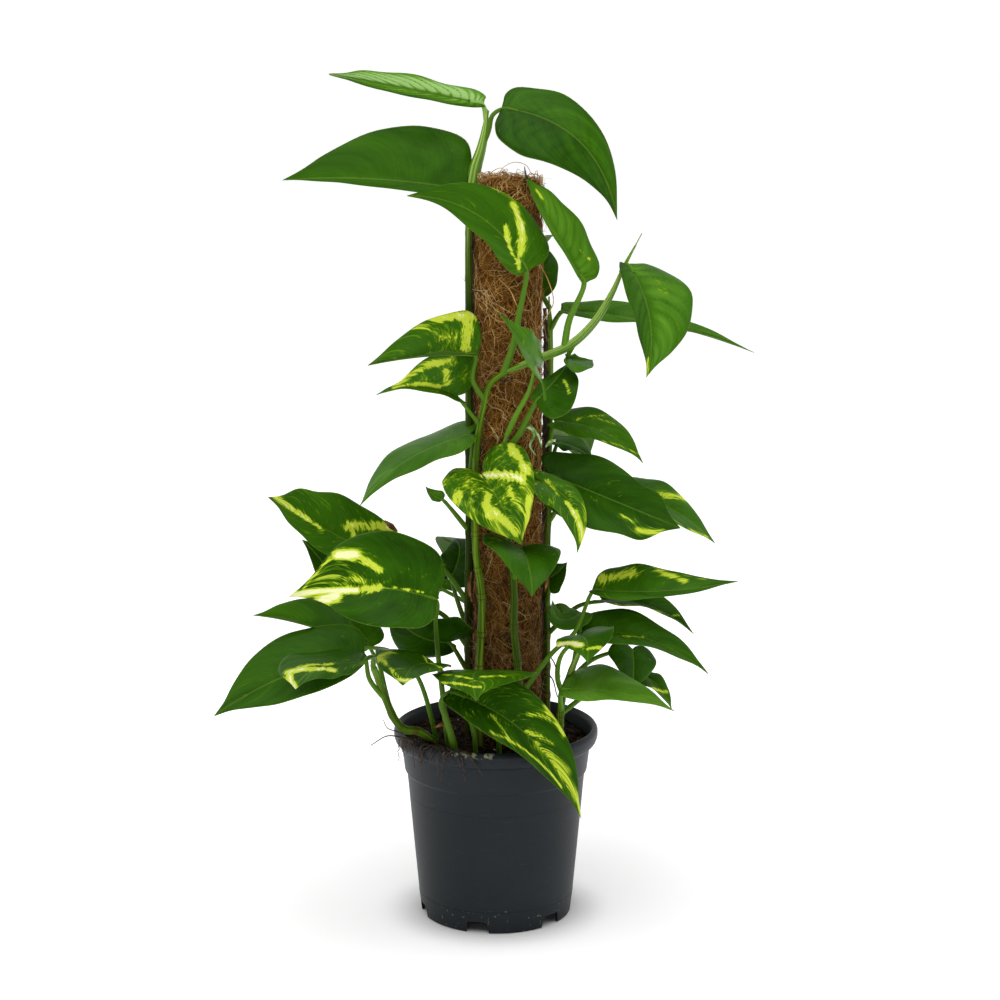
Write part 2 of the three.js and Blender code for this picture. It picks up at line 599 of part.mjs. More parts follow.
    tip: [-13, -118, 193], face: [0, -0.2, 1], halves: [43, 31], arch: 7, bend: 5, fold: 5,
    lobe: 0, belly: 0.1, curl: 4,
  },
  back_vine_leaf_1: {
    stem: "back_vine", from: 478, base: [14, 46, 488], tip: [30, 104, 470], face: [0.1, 0.5, 0.8],
    halves: [26, 26], arch: 8,
  },
  back_vine_leaf_2: {
    stem: "back_vine", from: 400, via: [[0, 46, 414]], base: [-8, 58, 420], tip: [-30, 122, 388],
    face: [-0.1, 0.5, 0.8], halves: [28, 28], arch: 10,
  },
  back_vine_leaf_3: {
    stem: "back_vine", from: 325, via: [[22, 46, 345]], base: [34, 60, 350], tip: [70, 130, 306],
    face: [0.2, 0.6, 0.8], halves: [30, 30], arch: 12,
  },
  back_vine_leaf_4: {
    stem: "back_vine", from: 240, via: [[2, 50, 256]], base: [-8, 66, 260], tip: [-36, 142, 222],
    face: [-0.2, 0.6, 0.8], halves: [30, 30], arch: 12,
  },
  back_vine_leaf_5: {
    stem: "back_vine", from: 176, via: [[10, 54, 198]], base: [8, 70, 206], tip: [4, 142, 168],
    face: [0, 0.6, 0.8], halves: [30, 30], arch: 14,
  },
  back_vine_leaf_6: {
    stem: "back_vine", from: 200, via: [[-18, 46, 218]], base: [-42, 58, 230],
    tip: [-112, 112, 224], face: [-0.2, 0.4, 0.9], halves: [26, 26], arch: 10,
  },
};

function makeLeaf(leaf) {
  const whole = blade(leaf).add(stalkSolid(leaf, 0));
  if (!leaf.stem) return whole;
  const pieces = whole.subtract(vineSolid(vines[leaf.stem], GAP)).decompose();
  pieces.sort((a, b) => b.volume() - a.volume());
  return pieces[0];
}

// Coir pole: a wooden core in a thick sleeve of pressed fibre, whose surface is lumpy.
function poleSleeve() {
  const bore = CORE_RADIUS + GAP;
  const boreTop = CORE_TOP + GAP;
  const profile = [[0, boreTop], [bore, boreTop], [bore, SLEEVE_BOTTOM]];
  for (let i = 0; i <= SLEEVE_ROWS; i += 1) {
    const height = THREE.MathUtils.lerp(SLEEVE_BOTTOM, POLE_TOP - SHOULDER, i / SLEEVE_ROWS);
    profile.push([POLE_RADIUS, height]);
  }
  profile.push([POLE_RADIUS - SHOULDER, POLE_TOP], [0, POLE_TOP]);
  const geometry = turned(profile, SLEEVE_SIDES);
  const place = geometry.attributes.position;
  for (let i = 0; i < place.count; i += 1) {
    const x = place.getX(i);
    const y = place.getY(i);
    const z = place.getZ(i);
    const radius = Math.hypot(x, y);
    if (radius < bore + 1 || z > POLE_TOP - SHOULDER + 1) continue;
    const angle = Math.atan2(y, x);
    const lump = 0.5 * Math.sin(3 * angle + z / 17) + 0.4 * Math.sin(5 * angle - z / 11);
    const scale = (radius + lump) / radius;
    place.setXYZ(i, x * scale, y * scale, z);
  }
  return solid(geometry).translate([POLE_X, 0, 0]);
}

function poleCore(extra) {
  const height = CORE_TOP - CORE_BOTTOM;
  const core = new THREE.CylinderGeometry(CORE_RADIUS + extra, CORE_RADIUS + extra, height, CORE_SIDES);
  core.rotateX(Math.PI / 2);
  core.translate(POLE_X, 0, CORE_TOP - height / 2);
  return solid(core);
}

// Soil: fills the pot to just under the rim, crumbly on top, with a plain hole for each stem.
function makeSoil() {
  const wall = potInside.slice(1).reverse().map(([radius, height]) => [radius - SOIL_GAP, height]);
  wall[0][1] += GAP;
  wall[wall.length - 1] = [RIM_RADIUS - 8.2, SOIL_TOP - SOIL_SHOULDER];
  const top = SOIL_RINGS.map((radius) => [radius, SOIL_TOP]);
  const geometry = turned([[0, wall[0][1]], ...wall, ...top, [0, SOIL_TOP]], SOIL_SIDES);
  const place = geometry.attributes.position;
  for (let i = 0; i < place.count; i += 1) {
    const radius = Math.hypot(place.getX(i), place.getY(i));
    if (place.getZ(i) < SOIL_TOP - SOIL_SHOULDER - 1 || radius < 1) continue;
    const angle = Math.atan2(place.getY(i), place.getX(i));
    const crumb = Math.sin(radius / 5 + 2 * angle) * Math.sin(radius / 9 + 5 * angle);
    place.setZ(i, place.getZ(i) + CRUMB_HEIGHT * crumb);
  }
  let soil = solid(geometry);
  const bore = POLE_RADIUS + SLEEVE_LUMP + GAP;
  const depth = SOIL_TOP - SLEEVE_BOTTOM + GAP;
  const sleeveHole = new THREE.CylinderGeometry(bore, bore, 2 * depth, CORE_SIDES);
  sleeveHole.rotateX(Math.PI / 2);
  sleeveHole.translate(POLE_X, 0, SLEEVE_BOTTOM - GAP + depth);
  soil = soil.subtract(solid(sleeveHole)).subtract(poleCore(GAP));
  for (const vine of Object.values(vines)) soil = soil.subtract(vineSolid(vine, GAP));
  for (const leaf of Object.values(leaves)) {
    if (!leaf.stem) soil = soil.subtract(stalkSolid(leaf, GAP));
  }
  return soil;
}

addNode("pot", makePot(), plastic);
addNode("soil", makeSoil(), earth);
addNode("pole_core", poleCore(0), wood);
addNode("coir_sleeve", poleSleeve(), coir);
for (const [name, vine] of Object.entries(vines)) addNode(name, vineSolid(vine, 0), stemGreen);
for (const [name, leaf] of Object.entries(leaves)) addNode(name, makeLeaf(leaf), leafGreen);

// The floor under the middle of the whole plant is the origin.
const middle = new THREE.Box3().setFromObject(part).getCenter(new THREE.Vector3());
part.position.set(-middle.x, -middle.y, 0);

export default part;
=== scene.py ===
import math
from dataclasses import dataclass

import bpy
import numpy as np
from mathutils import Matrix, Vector, noise


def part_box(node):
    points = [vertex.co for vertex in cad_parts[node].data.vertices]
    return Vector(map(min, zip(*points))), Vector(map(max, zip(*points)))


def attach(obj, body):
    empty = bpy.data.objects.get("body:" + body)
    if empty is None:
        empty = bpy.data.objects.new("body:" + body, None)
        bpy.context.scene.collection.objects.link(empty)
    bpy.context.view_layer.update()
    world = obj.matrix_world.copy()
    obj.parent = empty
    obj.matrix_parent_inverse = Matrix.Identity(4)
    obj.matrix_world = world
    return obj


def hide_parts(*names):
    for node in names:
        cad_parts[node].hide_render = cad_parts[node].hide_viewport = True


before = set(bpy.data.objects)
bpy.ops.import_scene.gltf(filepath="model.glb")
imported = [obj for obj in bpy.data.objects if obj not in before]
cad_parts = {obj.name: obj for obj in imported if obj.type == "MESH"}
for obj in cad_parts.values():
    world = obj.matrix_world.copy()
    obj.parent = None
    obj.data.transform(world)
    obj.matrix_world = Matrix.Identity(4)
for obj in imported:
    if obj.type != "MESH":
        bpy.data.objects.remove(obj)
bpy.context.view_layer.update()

# ---------------------------------------------------------------------------------------------
# Pot: a nursery pot injection-moulded in slate grey polypropylene, with a rolled lip, a collar,
# a tapered wall with two faint mould lines, a raised floor with drain holes, and a notched foot
# skirt. Hard water has left lime on the lip and splashes on the foot.
MM = 0.001
pot_low, pot_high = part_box("pot")
POT_X = (pot_low.x + pot_high.x) / 2
POT_Y = (pot_low.y + pot_high.y) / 2
POT_HEIGHT = 141
RIM_RADIUS = 74.5
FOOT_RADIUS = 55
SKIRT_HEIGHT = 10
POT_FLOOR = 11.6
COLLAR_BOTTOM = 108
COLLAR_TOP = 127
LOW_LINE = 16.5
HIGH_LINE = 91
WALL_FOOT_RADIUS = FOOT_RADIUS + 1.4
WALL_TOP_RADIUS = RIM_RADIUS - 9.4
INNER_WALL = [(FOOT_RADIUS - 0.9, POT_FLOOR), (RIM_RADIUS - 10.4, COLLAR_BOTTOM),
              (RIM_RADIUS - 7.6, COLLAR_TOP)]
NOTCH_OUTLINE = [(-8.5, -1), (8.5, -1), (7.4, 7.4), (6.2, 8.6), (-6.2, 8.6), (-7.4, 7.4)]
NOTCH_START = FOOT_RADIUS - 7
NOTCH_DEPTH = 12
NOTCH_TURNS = [math.radians(-104 + 60 * i) for i in range(6)]
DRAIN_RADIUS = 5
DRAIN_CIRCLE = 38
DRAIN_DEPTH = 6
CORNER_RADIUS = 1.2
EDGE_RADIUS = 0.35
POT_COLUMNS = 216
DRAIN_COLUMNS = 24


def in_place(points):
    """Millimetres from the middle of the pot's foot, as metres in the frame."""
    return np.asarray(points, float) * MM + np.array([POT_X, POT_Y, 0])


def added(name, data):
    """An object at the origin, in the scene."""
    thing = bpy.data.objects.new(name, data)
    bpy.context.scene.collection.objects.link(thing)
    return thing


def new_piece(name, points, faces, smooth=True):
    """A mesh object at the origin, from points in metres."""
    mesh = bpy.data.meshes.new(name)
    mesh.from_pydata(np.asarray(points).tolist(), [], faces)
    mesh.polygons.foreach_set("use_smooth", [smooth] * len(mesh.polygons))
    mesh.update()
    return added(name, mesh)


def applied(piece):
    """Bakes a piece's modifiers into its mesh and removes them."""
    evaluated = piece.evaluated_get(bpy.context.evaluated_depsgraph_get())
    mesh = bpy.data.meshes.new_from_object(evaluated)
    piece.modifiers.clear()
    piece.data = mesh
    return piece


def rounded(profile, radius, steps=4):
    """A profile with each of its corners turned into a small arc."""
    points = np.array(profile, float)
    out = [points[0]]
    for before, corner, after in zip(points[:-2], points[1:-1], points[2:]):
        back = before - corner
        onward = after - corner
        cut = min(radius, 0.4 * np.linalg.norm(back), 0.4 * np.linalg.norm(onward))
        start = corner + back / np.linalg.norm(back) * cut
        end = corner + onward / np.linalg.norm(onward) * cut
        for t in np.linspace(0, 1, steps + 1):
            out.append((1 - t) ** 2 * start + 2 * t * (1 - t) * corner + t ** 2 * end)
    out.append(points[-1])
    return np.array(out)


def revolved(profile, columns):
    """Points and faces of a body of revolution whose profile starts and ends on the axis."""
    ring = profile[1:-1]
    turns = np.linspace(0, 2 * np.pi, columns, endpoint=False)
    rows = [np.stack([r * np.cos(turns), r * np.sin(turns), np.full(columns, z)], axis=1) for r, z in ring]
    points = np.concatenate([[(0, 0, profile[0][1])], *rows, [(0, 0, profile[-1][1])]])
    faces = []
    last = len(points) - 1
    for j in range(columns):
        k = (j + 1) % columns
        faces.append((0, 1 + k, 1 + j))
        faces.append((last, last - columns + j, last - columns + k))
        for i in range(len(ring) - 1):
            low = 1 + i * columns
            high = low + columns
            faces.append((low + j, low + k, high + k, high + j))
    return points, faces


def mould_line(height, depth):
    """The profile points of a shallow groove round the outer wall, which widens towards the collar."""
    share = (height - SKIRT_HEIGHT) / (COLLAR_BOTTOM - SKIRT_HEIGHT)
    radius = WALL_FOOT_RADIUS + share * (WALL_TOP_RADIUS - WALL_FOOT_RADIUS)
    return [(radius, height - 0.5), (radius - depth, height), (radius, height + 0.5)]


pot_profile = rounded([
    (0, SKIRT_HEIGHT), (FOOT_RADIUS - 2, SKIRT_HEIGHT), (FOOT_RADIUS - 2, 0), (FOOT_RADIUS, 0),
    (FOOT_RADIUS + 1.2, SKIRT_HEIGHT), *mould_line(LOW_LINE, 0.3), *mould_line(HIGH_LINE, 0.15),
    (WALL_TOP_RADIUS, COLLAR_BOTTOM - 1), (RIM_RADIUS - 7.8, COLLAR_BOTTOM + 0.6),
    (RIM_RADIUS - 5.6, COLLAR_TOP), (RIM_RADIUS - 1.2, COLLAR_TOP + 3), (RIM_RADIUS, COLLAR_TOP + 7),
    (RIM_RADIUS, POT_HEIGHT - 3), (RIM_RADIUS - 1.2, POT_HEIGHT - 0.8), (RIM_RADIUS - 3, POT_HEIGHT),
    (RIM_RADIUS - 5, POT_HEIGHT - 3), *reversed(INNER_WALL), (0, POT_FLOOR)], CORNER_RADIUS)


def prism(outline, depth):
    """Points and faces of an outline in x and z, pushed out along y."""
    count = len(outline)
    points = [(x, y, z) for y in (0, depth) for x, z in outline]
    faces = [tuple(range(count)), tuple(reversed(range(count, 2 * count)))]
    for i in range(count):
        j = (i + 1) % count
        faces.append((i, i + count, j + count, j))
    return np.array(points, float), faces


def turned_about(points, turn):
    """Points turned about the pot's axis, so that +y comes to lie at an angle from +x."""
    angle = turn - math.pi / 2
    x = points[:, 0] * math.cos(angle) - points[:, 1] * math.sin(angle)
    y = points[:, 0] * math.sin(angle) + points[:, 1] * math.cos(angle)
    return np.stack([x, y, points[:, 2]], axis=1)


def make_pot():
    points, faces = revolved(pot_profile, POT_COLUMNS)
    pot = new_piece("nursery_pot", in_place(points), faces)
    notch, notch_sides = prism(NOTCH_OUTLINE, NOTCH_DEPTH)
    notch[:, 1] += NOTCH_START
    turns = np.linspace(0, 2 * np.pi, DRAIN_COLUMNS, endpoint=False)
    drain, drain_sides = prism(DRAIN_RADIUS * np.stack([np.cos(turns), np.sin(turns)], axis=1), DRAIN_DEPTH)
    drain = drain[:, [0, 2, 1]] + np.array([0, DRAIN_CIRCLE, SKIRT_HEIGHT - 2])
    drain_sides = [tuple(reversed(side)) for side in drain_sides]
    cuts = []
    cut_faces = []
    for turn in NOTCH_TURNS:
        for shape, sides in ((notch, notch_sides), (drain, drain_sides)):
            start = sum(len(cut) for cut in cuts)
            cut_faces += [tuple(start + i for i in side) for side in sides]
            cuts.append(turned_about(shape, turn))
    cutter = new_piece("cutter", in_place(np.concatenate(cuts)), cut_faces, smooth=False)
    cut = pot.modifiers.new("notches and drains", "BOOLEAN")
    cut.operation = "DIFFERENCE"
    cut.object = cutter
    cut.solver = "EXACT"
    applied(pot)
    bpy.data.objects.remove(cutter)
    soften = pot.modifiers.new("moulded edges", "BEVEL")
    soften.width = EDGE_RADIUS * MM
    soften.segments = 2
    soften.limit_method = "ANGLE"
    soften.angle_limit = math.radians(50)
    return applied(pot)


class Wire:
    """An output of a node. Sums on wires add Math nodes, and make() adds any other node."""

    def __init__(self, tree, socket=None):
        self.tree = tree
        self.socket = socket

    def make(self, kind, settings=None, values=None, out=0):
        """Adds a node: its settings first, then the numbers, colours or wires of its inputs."""
        node = self.tree.nodes.new(kind)
        for name, setting in (settings or {}).items():
            if name != "stops":
                setattr(node, name, setting)
                continue
            stops = node.color_ramp.elements
            while len(stops) < len(setting):
                stops.new(1)
            for stop, (place, colour) in zip(stops, setting):
                stop.position = place
                stop.color = colour
        inputs = [socket for socket in node.inputs if socket.enabled]
        for name, value in (values or {}).items():
            socket = inputs[name] if isinstance(name, int) else next(s for s in inputs if s.name == name)
            if isinstance(value, Wire):
                self.tree.links.new(value.socket, socket)
            else:
                socket.default_value = value
        outputs = [socket for socket in node.outputs if socket.enabled]
        if isinstance(out, str):
            outputs = [socket for socket in outputs if socket.name == out]
            out = 0
        return Wire(self.tree, outputs[out] if outputs else None)

    def math(self, operation, *values):
        return self.make("ShaderNodeMath", {"operation": operation}, dict(enumerate(values)))

    def of(self, function):
        """A function of this number alone, such as its cosine."""
        return self.math(function, self)

    def __add__(self, other):
        return self.math("ADD", self, other)

    def __radd__(self, other):
        return self.math("ADD", other, self)

    def __sub__(self, other):
        return self.math("SUBTRACT", self, other)

    def __rsub__(self, other):
        return self.math("SUBTRACT", other, self)

    def __mul__(self, other):
        return self.math("MULTIPLY", self, other)

    def __rmul__(self, other):
        return self.math("MULTIPLY", other, self)

    def __truediv__(self, other):
        return self.math("DIVIDE", self, other)

    def __pow__(self, other):
        return self.math("POWER", self, other)

    def rise(self, low, high):
        """0 below low and 1 above high, smooth between."""
        return self.make("ShaderNodeMapRange", {"interpolation_type": "SMOOTHSTEP"},
                         {"Value": self, "From Min": low, "From Max": high})

    def mix(self, share, other):
        """This colour with a share of another: a wire, or a colour as it looks on a screen."""
        other = other if isinstance(other, Wire) else paint(*other)
        return self.make("ShaderNodeMix", {"data_type": "RGBA"}, {"Factor": share, "A": self, "B": other})

    def noise(self, scale, detail=3, stretch=(1, 1, 1), distortion=0):
        """Noise from 0 to 1 at this place, finer along an axis with a larger stretch."""
        place = self.make("ShaderNodeMapping", None, {"Vector": self, "Scale": stretch})
        return self.make("ShaderNodeTexNoise", None, {
            "Vector": place, "Scale": scale, "Detail": detail, "Distortion": distortion})

    def colours(self, *stops):
        """A colour ramp on this number: each stop is a place and a colour as it looks on a screen."""
        ramp = [(place, paint(*colour)) for place, colour in stops]
        return self.make("ShaderNodeValToRGB", {"stops": ramp}, {"Fac": self})

    def parts(self):
        """The three numbers of this place."""
        split = self.make("ShaderNodeSeparateXYZ", None, {"Vector": self})
        return [Wire(self.tree, socket) for socket in split.socket.node.outputs]

    def joined(self, x, y, z):
        """The place with these three numbers."""
        return self.make("ShaderNodeCombineXYZ", None, {"X": x, "Y": y, "Z": z})

    def attribute(self, name):
        return self.make("ShaderNodeAttribute", {"attribute_name": name}, None, "Fac")


def paint(red, green, blue):
    """A colour given as it looks on a screen, 0 to 255, as the shader's linear colour."""
    shares = [c / 255 for c in (red, green, blue)]
    return (*[s / 12.92 if s < 0.04045 else ((s + 0.055) / 1.055) ** 2.4 for s in shares], 1)


SATIN = {"Specular IOR Level": 0.2}
MATTE = {"Specular IOR Level": 0.1}


def skin(name, pattern, constants=SATIN):
    """A Principled material: pattern(place) gives what varies over the surface, the rest is constant."""
    material = bpy.data.materials.new(name)
    material.use_nodes = True
    tree = material.node_tree
    tree.nodes.clear()
    place = Wire(tree).make("ShaderNodeTexCoord", None, None, "Object")
    varied = pattern(place)
    bump = {"Height": varied.pop("relief"), "Distance": varied.pop("depth")}
    varied["Normal"] = place.make("ShaderNodeBump", None, bump)
    surface = place.make("ShaderNodeBsdfPrincipled", None, {**varied, **constants})
    place.make("ShaderNodeOutputMaterial", None, {"Surface": surface})
    return material


def dress(piece, material, slot, *nodes):
    """Gives a piece its material and its body, and hides the solids that it stands for; the slot argument is
    not used.
    """
    piece.data.materials.clear()
    piece.data.materials.append(material)
    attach(piece, "root")
    if nodes:
        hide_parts(*nodes)


def pot_pattern(place):
    x, y, z = place.parts()
    cloud = place.noise(14, detail=4)
    scuff = place.noise(60, detail=4, stretch=(1, 1, 6)).rise(0.6, 0.78)
    front = 1 - y.rise(POT_Y - 66 * MM, POT_Y - 58 * MM)
    left = x.rise(POT_X - 42 * MM, POT_X - 34 * MM) * (1 - x.rise(POT_X - 6 * MM, POT_X + 4 * MM))
    lip = z.rise(136.5 * MM, 139 * MM) * front * left * place.noise(260, detail=4).rise(0.5, 0.58)
    splash = (1 - z.rise(12 * MM, 24 * MM)) * place.noise(420, detail=1).rise(0.7, 0.74)
    lime = lip + splash * 0.5
    grey = cloud.colours((0.3, (17, 23, 27)), (0.7, (24, 31, 36)))
    grey = grey.mix(scuff * 0.12, (70, 76, 80)).mix(lime * 0.75, (150, 150, 120))
    return {"Base Color": grey, "Roughness": 0.4 + cloud * 0.14 + lime * 0.35,
            "relief": place.noise(900, detail=2) + lime * 1.5, "depth": 0.12 * MM}


pot = make_pot()
dress(pot, skin("pot_plastic", pot_pattern), "pot", "pot")

# ---------------------------------------------------------------------------------------------
# Soil: peat-based potting compost that fills the pot to just under its lip, loose and lumpy on
# top, with crumbs, chips of bark and grains of perlite. Fine brown roots lie on it and hang over
# the lip at the front left.
SOIL_TOP = 130
SOIL_BOTTOM = POT_FLOOR + 0.3
SOIL_EDGE = 66
SOIL_GAP = 0.7
SOIL_COLUMNS = 120
SOIL_RINGS = 44
HEAP_TURN = math.radians(-142)
LYING_ROOTS = 46
HANGING_ROOTS = 26
FOUR_TURNS = 25.13  # a cosine over this angle gives a root or stem four ridges


def soil_height(x, y):
    """Height of the loose surface, heaped against the lip at the front left."""
    radius = math.hypot(x, y)
    heap = max(0, math.cos(math.atan2(y, x) - HEAP_TURN)) ** 3 * max(0, (radius - 30) / 36) ** 1.5
    lumps = 2.4 * noise.noise(Vector((x / 15, y / 15, 0))) + 1.3 * noise.noise(Vector((x / 5, y / 5, 4)))
    return SOIL_TOP + lumps + 10.5 * heap


def make_soil_bed():
    """The bed of compost, its points in metres, and the faces of its loose top."""
    rings = [(radius, SOIL_TOP) for radius in np.linspace(SOIL_EDGE, 1.5, SOIL_RINGS)]
    wall = [(radius - SOIL_GAP, max(height, SOIL_BOTTOM)) for radius, height in INNER_WALL]
    points, faces = revolved([(0, SOIL_BOTTOM), *wall, *rings, (0, SOIL_TOP)], SOIL_COLUMNS)
    for point in points:
        if point[2] > SOIL_TOP - 1:
            point[2] = soil_height(point[0], point[1])
    top = [face for face in faces if min(points[j][2] for j in face) > COLLAR_TOP - 1.5]
    return new_piece("soil_bed", in_place(points), faces), in_place(points), top


def soil_pattern(place):
    grain = place.noise(260, detail=5)
    # In the compost this noise gives damp, darker patches only.
    damp_and_painted_shade = place.noise(40)
    brown = grain.colours((0.3, (10, 7, 3)), (0.55, (32, 21, 11)), (0.75, (64, 44, 24)))
    return {"Base Color": brown.mix(damp_and_painted_shade * 0.45, (18, 12, 8)), "Roughness": 0.9 - damp_and_painted_shade * 0.15,
            "relief": grain + place.noise(900, detail=3) * 0.5, "depth": 1.2 * MM}


def geometry_tree(name, inputs):
    """A Geometry Nodes tree with named inputs, and its input wires by name."""
    tree = bpy.data.node_groups.new(name, "GeometryNodeTree")
    tree.interface.new_socket("Geometry", in_out="INPUT", socket_type="NodeSocketGeometry")
    for label, kind in inputs.items():
        tree.interface.new_socket(label, in_out="INPUT", socket_type="NodeSocket" + kind)
    tree.interface.new_socket("Geometry", in_out="OUTPUT", socket_type="NodeSocketGeometry")
    source = Wire(tree).make("NodeGroupInput")
    return {socket.name: Wire(tree, socket) for socket in source.socket.node.outputs if socket.name}


def end_tree(geometry, material):
    """Closes a tree: instances made real, and the material set."""
    made = geometry.make("GeometryNodeRealizeInstances", None, {"Geometry": geometry})
    dressed = geometry.make("GeometryNodeSetMaterial", None, {"Geometry": made, "Material": material})
    geometry.make("NodeGroupOutput", None, {0: dressed})
    return geometry.tree


def grown(piece, tree, values):
    """Runs a geometry tree on a piece, and keeps the result as its plain mesh."""
    modifier = piece.modifiers.new(tree.name, "NODES")
    modifier.node_group = tree
    for item in tree.interface.items_tree:
        if item.in_out == "INPUT" and item.name in values:
            modifier[item.identifier] = values[item.name]
    return applied(piece)


def chance(wire, low, high, seed, index=None):
    """A random number from low to high for each element."""
    values = {"Min": low, "Max": high, "Seed": seed}
    if index is not None:
        values["ID"] = index
    return wire.make("FunctionNodeRandomValue", {"data_type": "FLOAT"}, values)


def crumb_tree():
    """Scatters lumps over a surface, each turned, flattened and dented by chance."""
    given = geometry_tree("crumbs on a surface", {
        "Density": "Float", "Seed": "Int", "Size": "Float", "Flatness": "Float", "Material": "Material"})
    wire = given["Geometry"]
    points = wire.make("GeometryNodeDistributePointsOnFaces", None,
                       {"Mesh": wire, "Density": given["Density"], "Seed": given["Seed"]})
    lump = wire.make("GeometryNodeMeshIcoSphere", None, {"Radius": given["Size"], "Subdivisions": 2})
    turn = wire.joined(*[chance(wire, 0, 6.3, 11 + i) for i in range(3)])
    size = chance(wire, 0.25, 1, 21) ** 1.6
    scale = wire.joined(size * chance(wire, 0.7, 1.4, 22), size, size * given["Flatness"])
    placed = wire.make("GeometryNodeInstanceOnPoints", None,
                       {"Points": points, "Instance": lump, "Rotation": turn, "Scale": scale})
    real = wire.make("GeometryNodeRealizeInstances", None, {"Geometry": placed})
    here = wire.make("GeometryNodeInputPosition")
    dent = here.make("ShaderNodeTexNoise", None, {"Vector": here, "Scale": 420.0, "Detail": 1.0}, "Color")
    shift = here.make("ShaderNodeVectorMath", {"operation": "SUBTRACT"}, {0: dent, 1: (0.5, 0.5, 0.5)})
    shift = here.make("ShaderNodeVectorMath", {"operation": "SCALE"}, {"Vector": shift, "Scale": 1.6 * MM})
    dented = wire.make("GeometryNodeSetPosition", None, {"Geometry": real, "Offset": shift})
    return end_tree(dented, given["Material"])


def crumb_pattern(place):
    grain = place.noise(130, detail=4)
    brown = grain.colours((0.32, (14, 9, 4)), (0.5, (44, 29, 15)), (0.68, (88, 61, 34)))
    return {"Base Color": brown, "Roughness": 0.85 + grain * 0.1,
            "relief": place.noise(1200), "depth": 0.5 * MM}


def mottled(scale, *stops, rough, depth, detail=3, stretch=(1, 1, 1)):
    """A pattern of one noise: its colours, its lowest and added roughness, its relief's depth in mm."""

    def pattern(place):
        cloud = place.noise(scale, detail, stretch)
        return {"Base Color": cloud.colours(*stops), "Roughness": rough[0] + cloud * rough[1],
                "relief": cloud, "depth": depth * MM}

    return pattern


bed, soil_points, soil_top = make_soil_bed()
dress(bed, skin("potting_soil", soil_pattern, MATTE), "soil", "soil")
scatter = crumb_tree()
crumb_skin = skin("soil_crumb", crumb_pattern, MATTE)
perlite_skin = skin("perlite", mottled(
    700, (0.3, (150, 140, 124)), (0.7, (214, 208, 192)), rough=(0.8, 0.1), depth=0.3), {})
for label, cover, density, seed, size, flatness in (
        ("soil_crumbs", crumb_skin, 90000.0, 3, 1.5, 0.8),
        ("perlite_grains", perlite_skin, 2600.0, 5, 1.1, 0.9),
        ("bark_chips", crumb_skin, 9000.0, 8, 4.2, 0.3)):
    scattered = grown(new_piece(label, soil_points, soil_top), scatter, {
        "Density": density, "Seed": seed, "Size": size * MM, "Flatness": flatness, "Material": cover})
    dress(scattered, cover, "soil")


def stored(geometry, name, value):
    """Geometry that carries one more number at each of its points."""
    return geometry.make("GeometryNodeStoreNamedAttribute", {"data_type": "FLOAT", "domain": "POINT"},
                         {"Geometry": geometry, "Name": name, "Value": value})


def tube(chain, sides, ridges):
    """A round tube along curves, as thick as their thickness attribute, with ridges along its length."""
    chain = stored(chain, "along", chain.make("GeometryNodeSplineParameter", None, None, "Length"))
    circle = chain.make("GeometryNodeCurvePrimitiveCircle", None, {"Resolution": sides, "Radius": 1.0})
    share = chain.make("GeometryNodeSplineParameter", None, None, "Factor")
    circle = stored(circle, "around", share)
    here = chain.make("GeometryNodeInputPosition")
    ridge = (share * FOUR_TURNS).of("COSINE") * ridges
    push = here.make("ShaderNodeVectorMath", {"operation": "SCALE"}, {"Vector": here, "Scale": ridge})
    circle = circle.make("GeometryNodeSetPosition", None, {"Geometry": circle, "Offset": push})
    thickness = chain.make("GeometryNodeInputNamedAttribute", {"data_type": "FLOAT"}, {"Name": "thickness"})
    stem = chain.make("GeometryNodeCurveToMesh", None, {
        "Curve": chain, "Profile Curve": circle, "Scale": thickness, "Fill Caps": True})
    return stem.make("GeometryNodeSetShadeSmooth", None, {"Geometry": stem, "Shade Smooth": True})


def line_tree():
    """A tube along each chain of edges of a mesh."""
    given = geometry_tree("grown along a line", {"Sides": "Int", "Ridges": "Float", "Material": "Material"})
    wire = given["Geometry"]
    chain = wire.make("GeometryNodeMeshToCurve", None, {"Mesh": wire})
    return end_tree(tube(chain, given["Sides"], given["Ridges"]), given["Material"])


def carry(mesh, name, numbers):
    """Stores a number with each of a mesh's points."""
    mesh.attributes.new(name, "FLOAT", "POINT").data.foreach_set("value", np.asarray(numbers, np.float32))


def chained(name, paths, attributes=("thickness",)):
    """A mesh of bare edges: each path is its points and one list of numbers for each attribute."""
    mesh = bpy.data.meshes.new(name)
    points = np.concatenate([in_place(path[0]) for path in paths])
    edges = []
    start = 0
    for path in paths:
        count = len(path[0])
        edges += [(start + i, start + i + 1) for i in range(count - 1)]
        start += count
    mesh.from_pydata(points.tolist(), edges, [])
    for i, attribute in enumerate(attributes):
        carry(mesh, attribute, np.concatenate([path[1 + i] for path in paths]))
    return added(name, mesh)


def cubic(start, end, leave, arrive, t):
    """The curve from one point to another that leaves and arrives along the given slopes."""
    return ((2 * start - 2 * end + leave + arrive) * t ** 3
            + (3 * end - 3 * start - 2 * leave - arrive) * t ** 2 + leave * t + start)


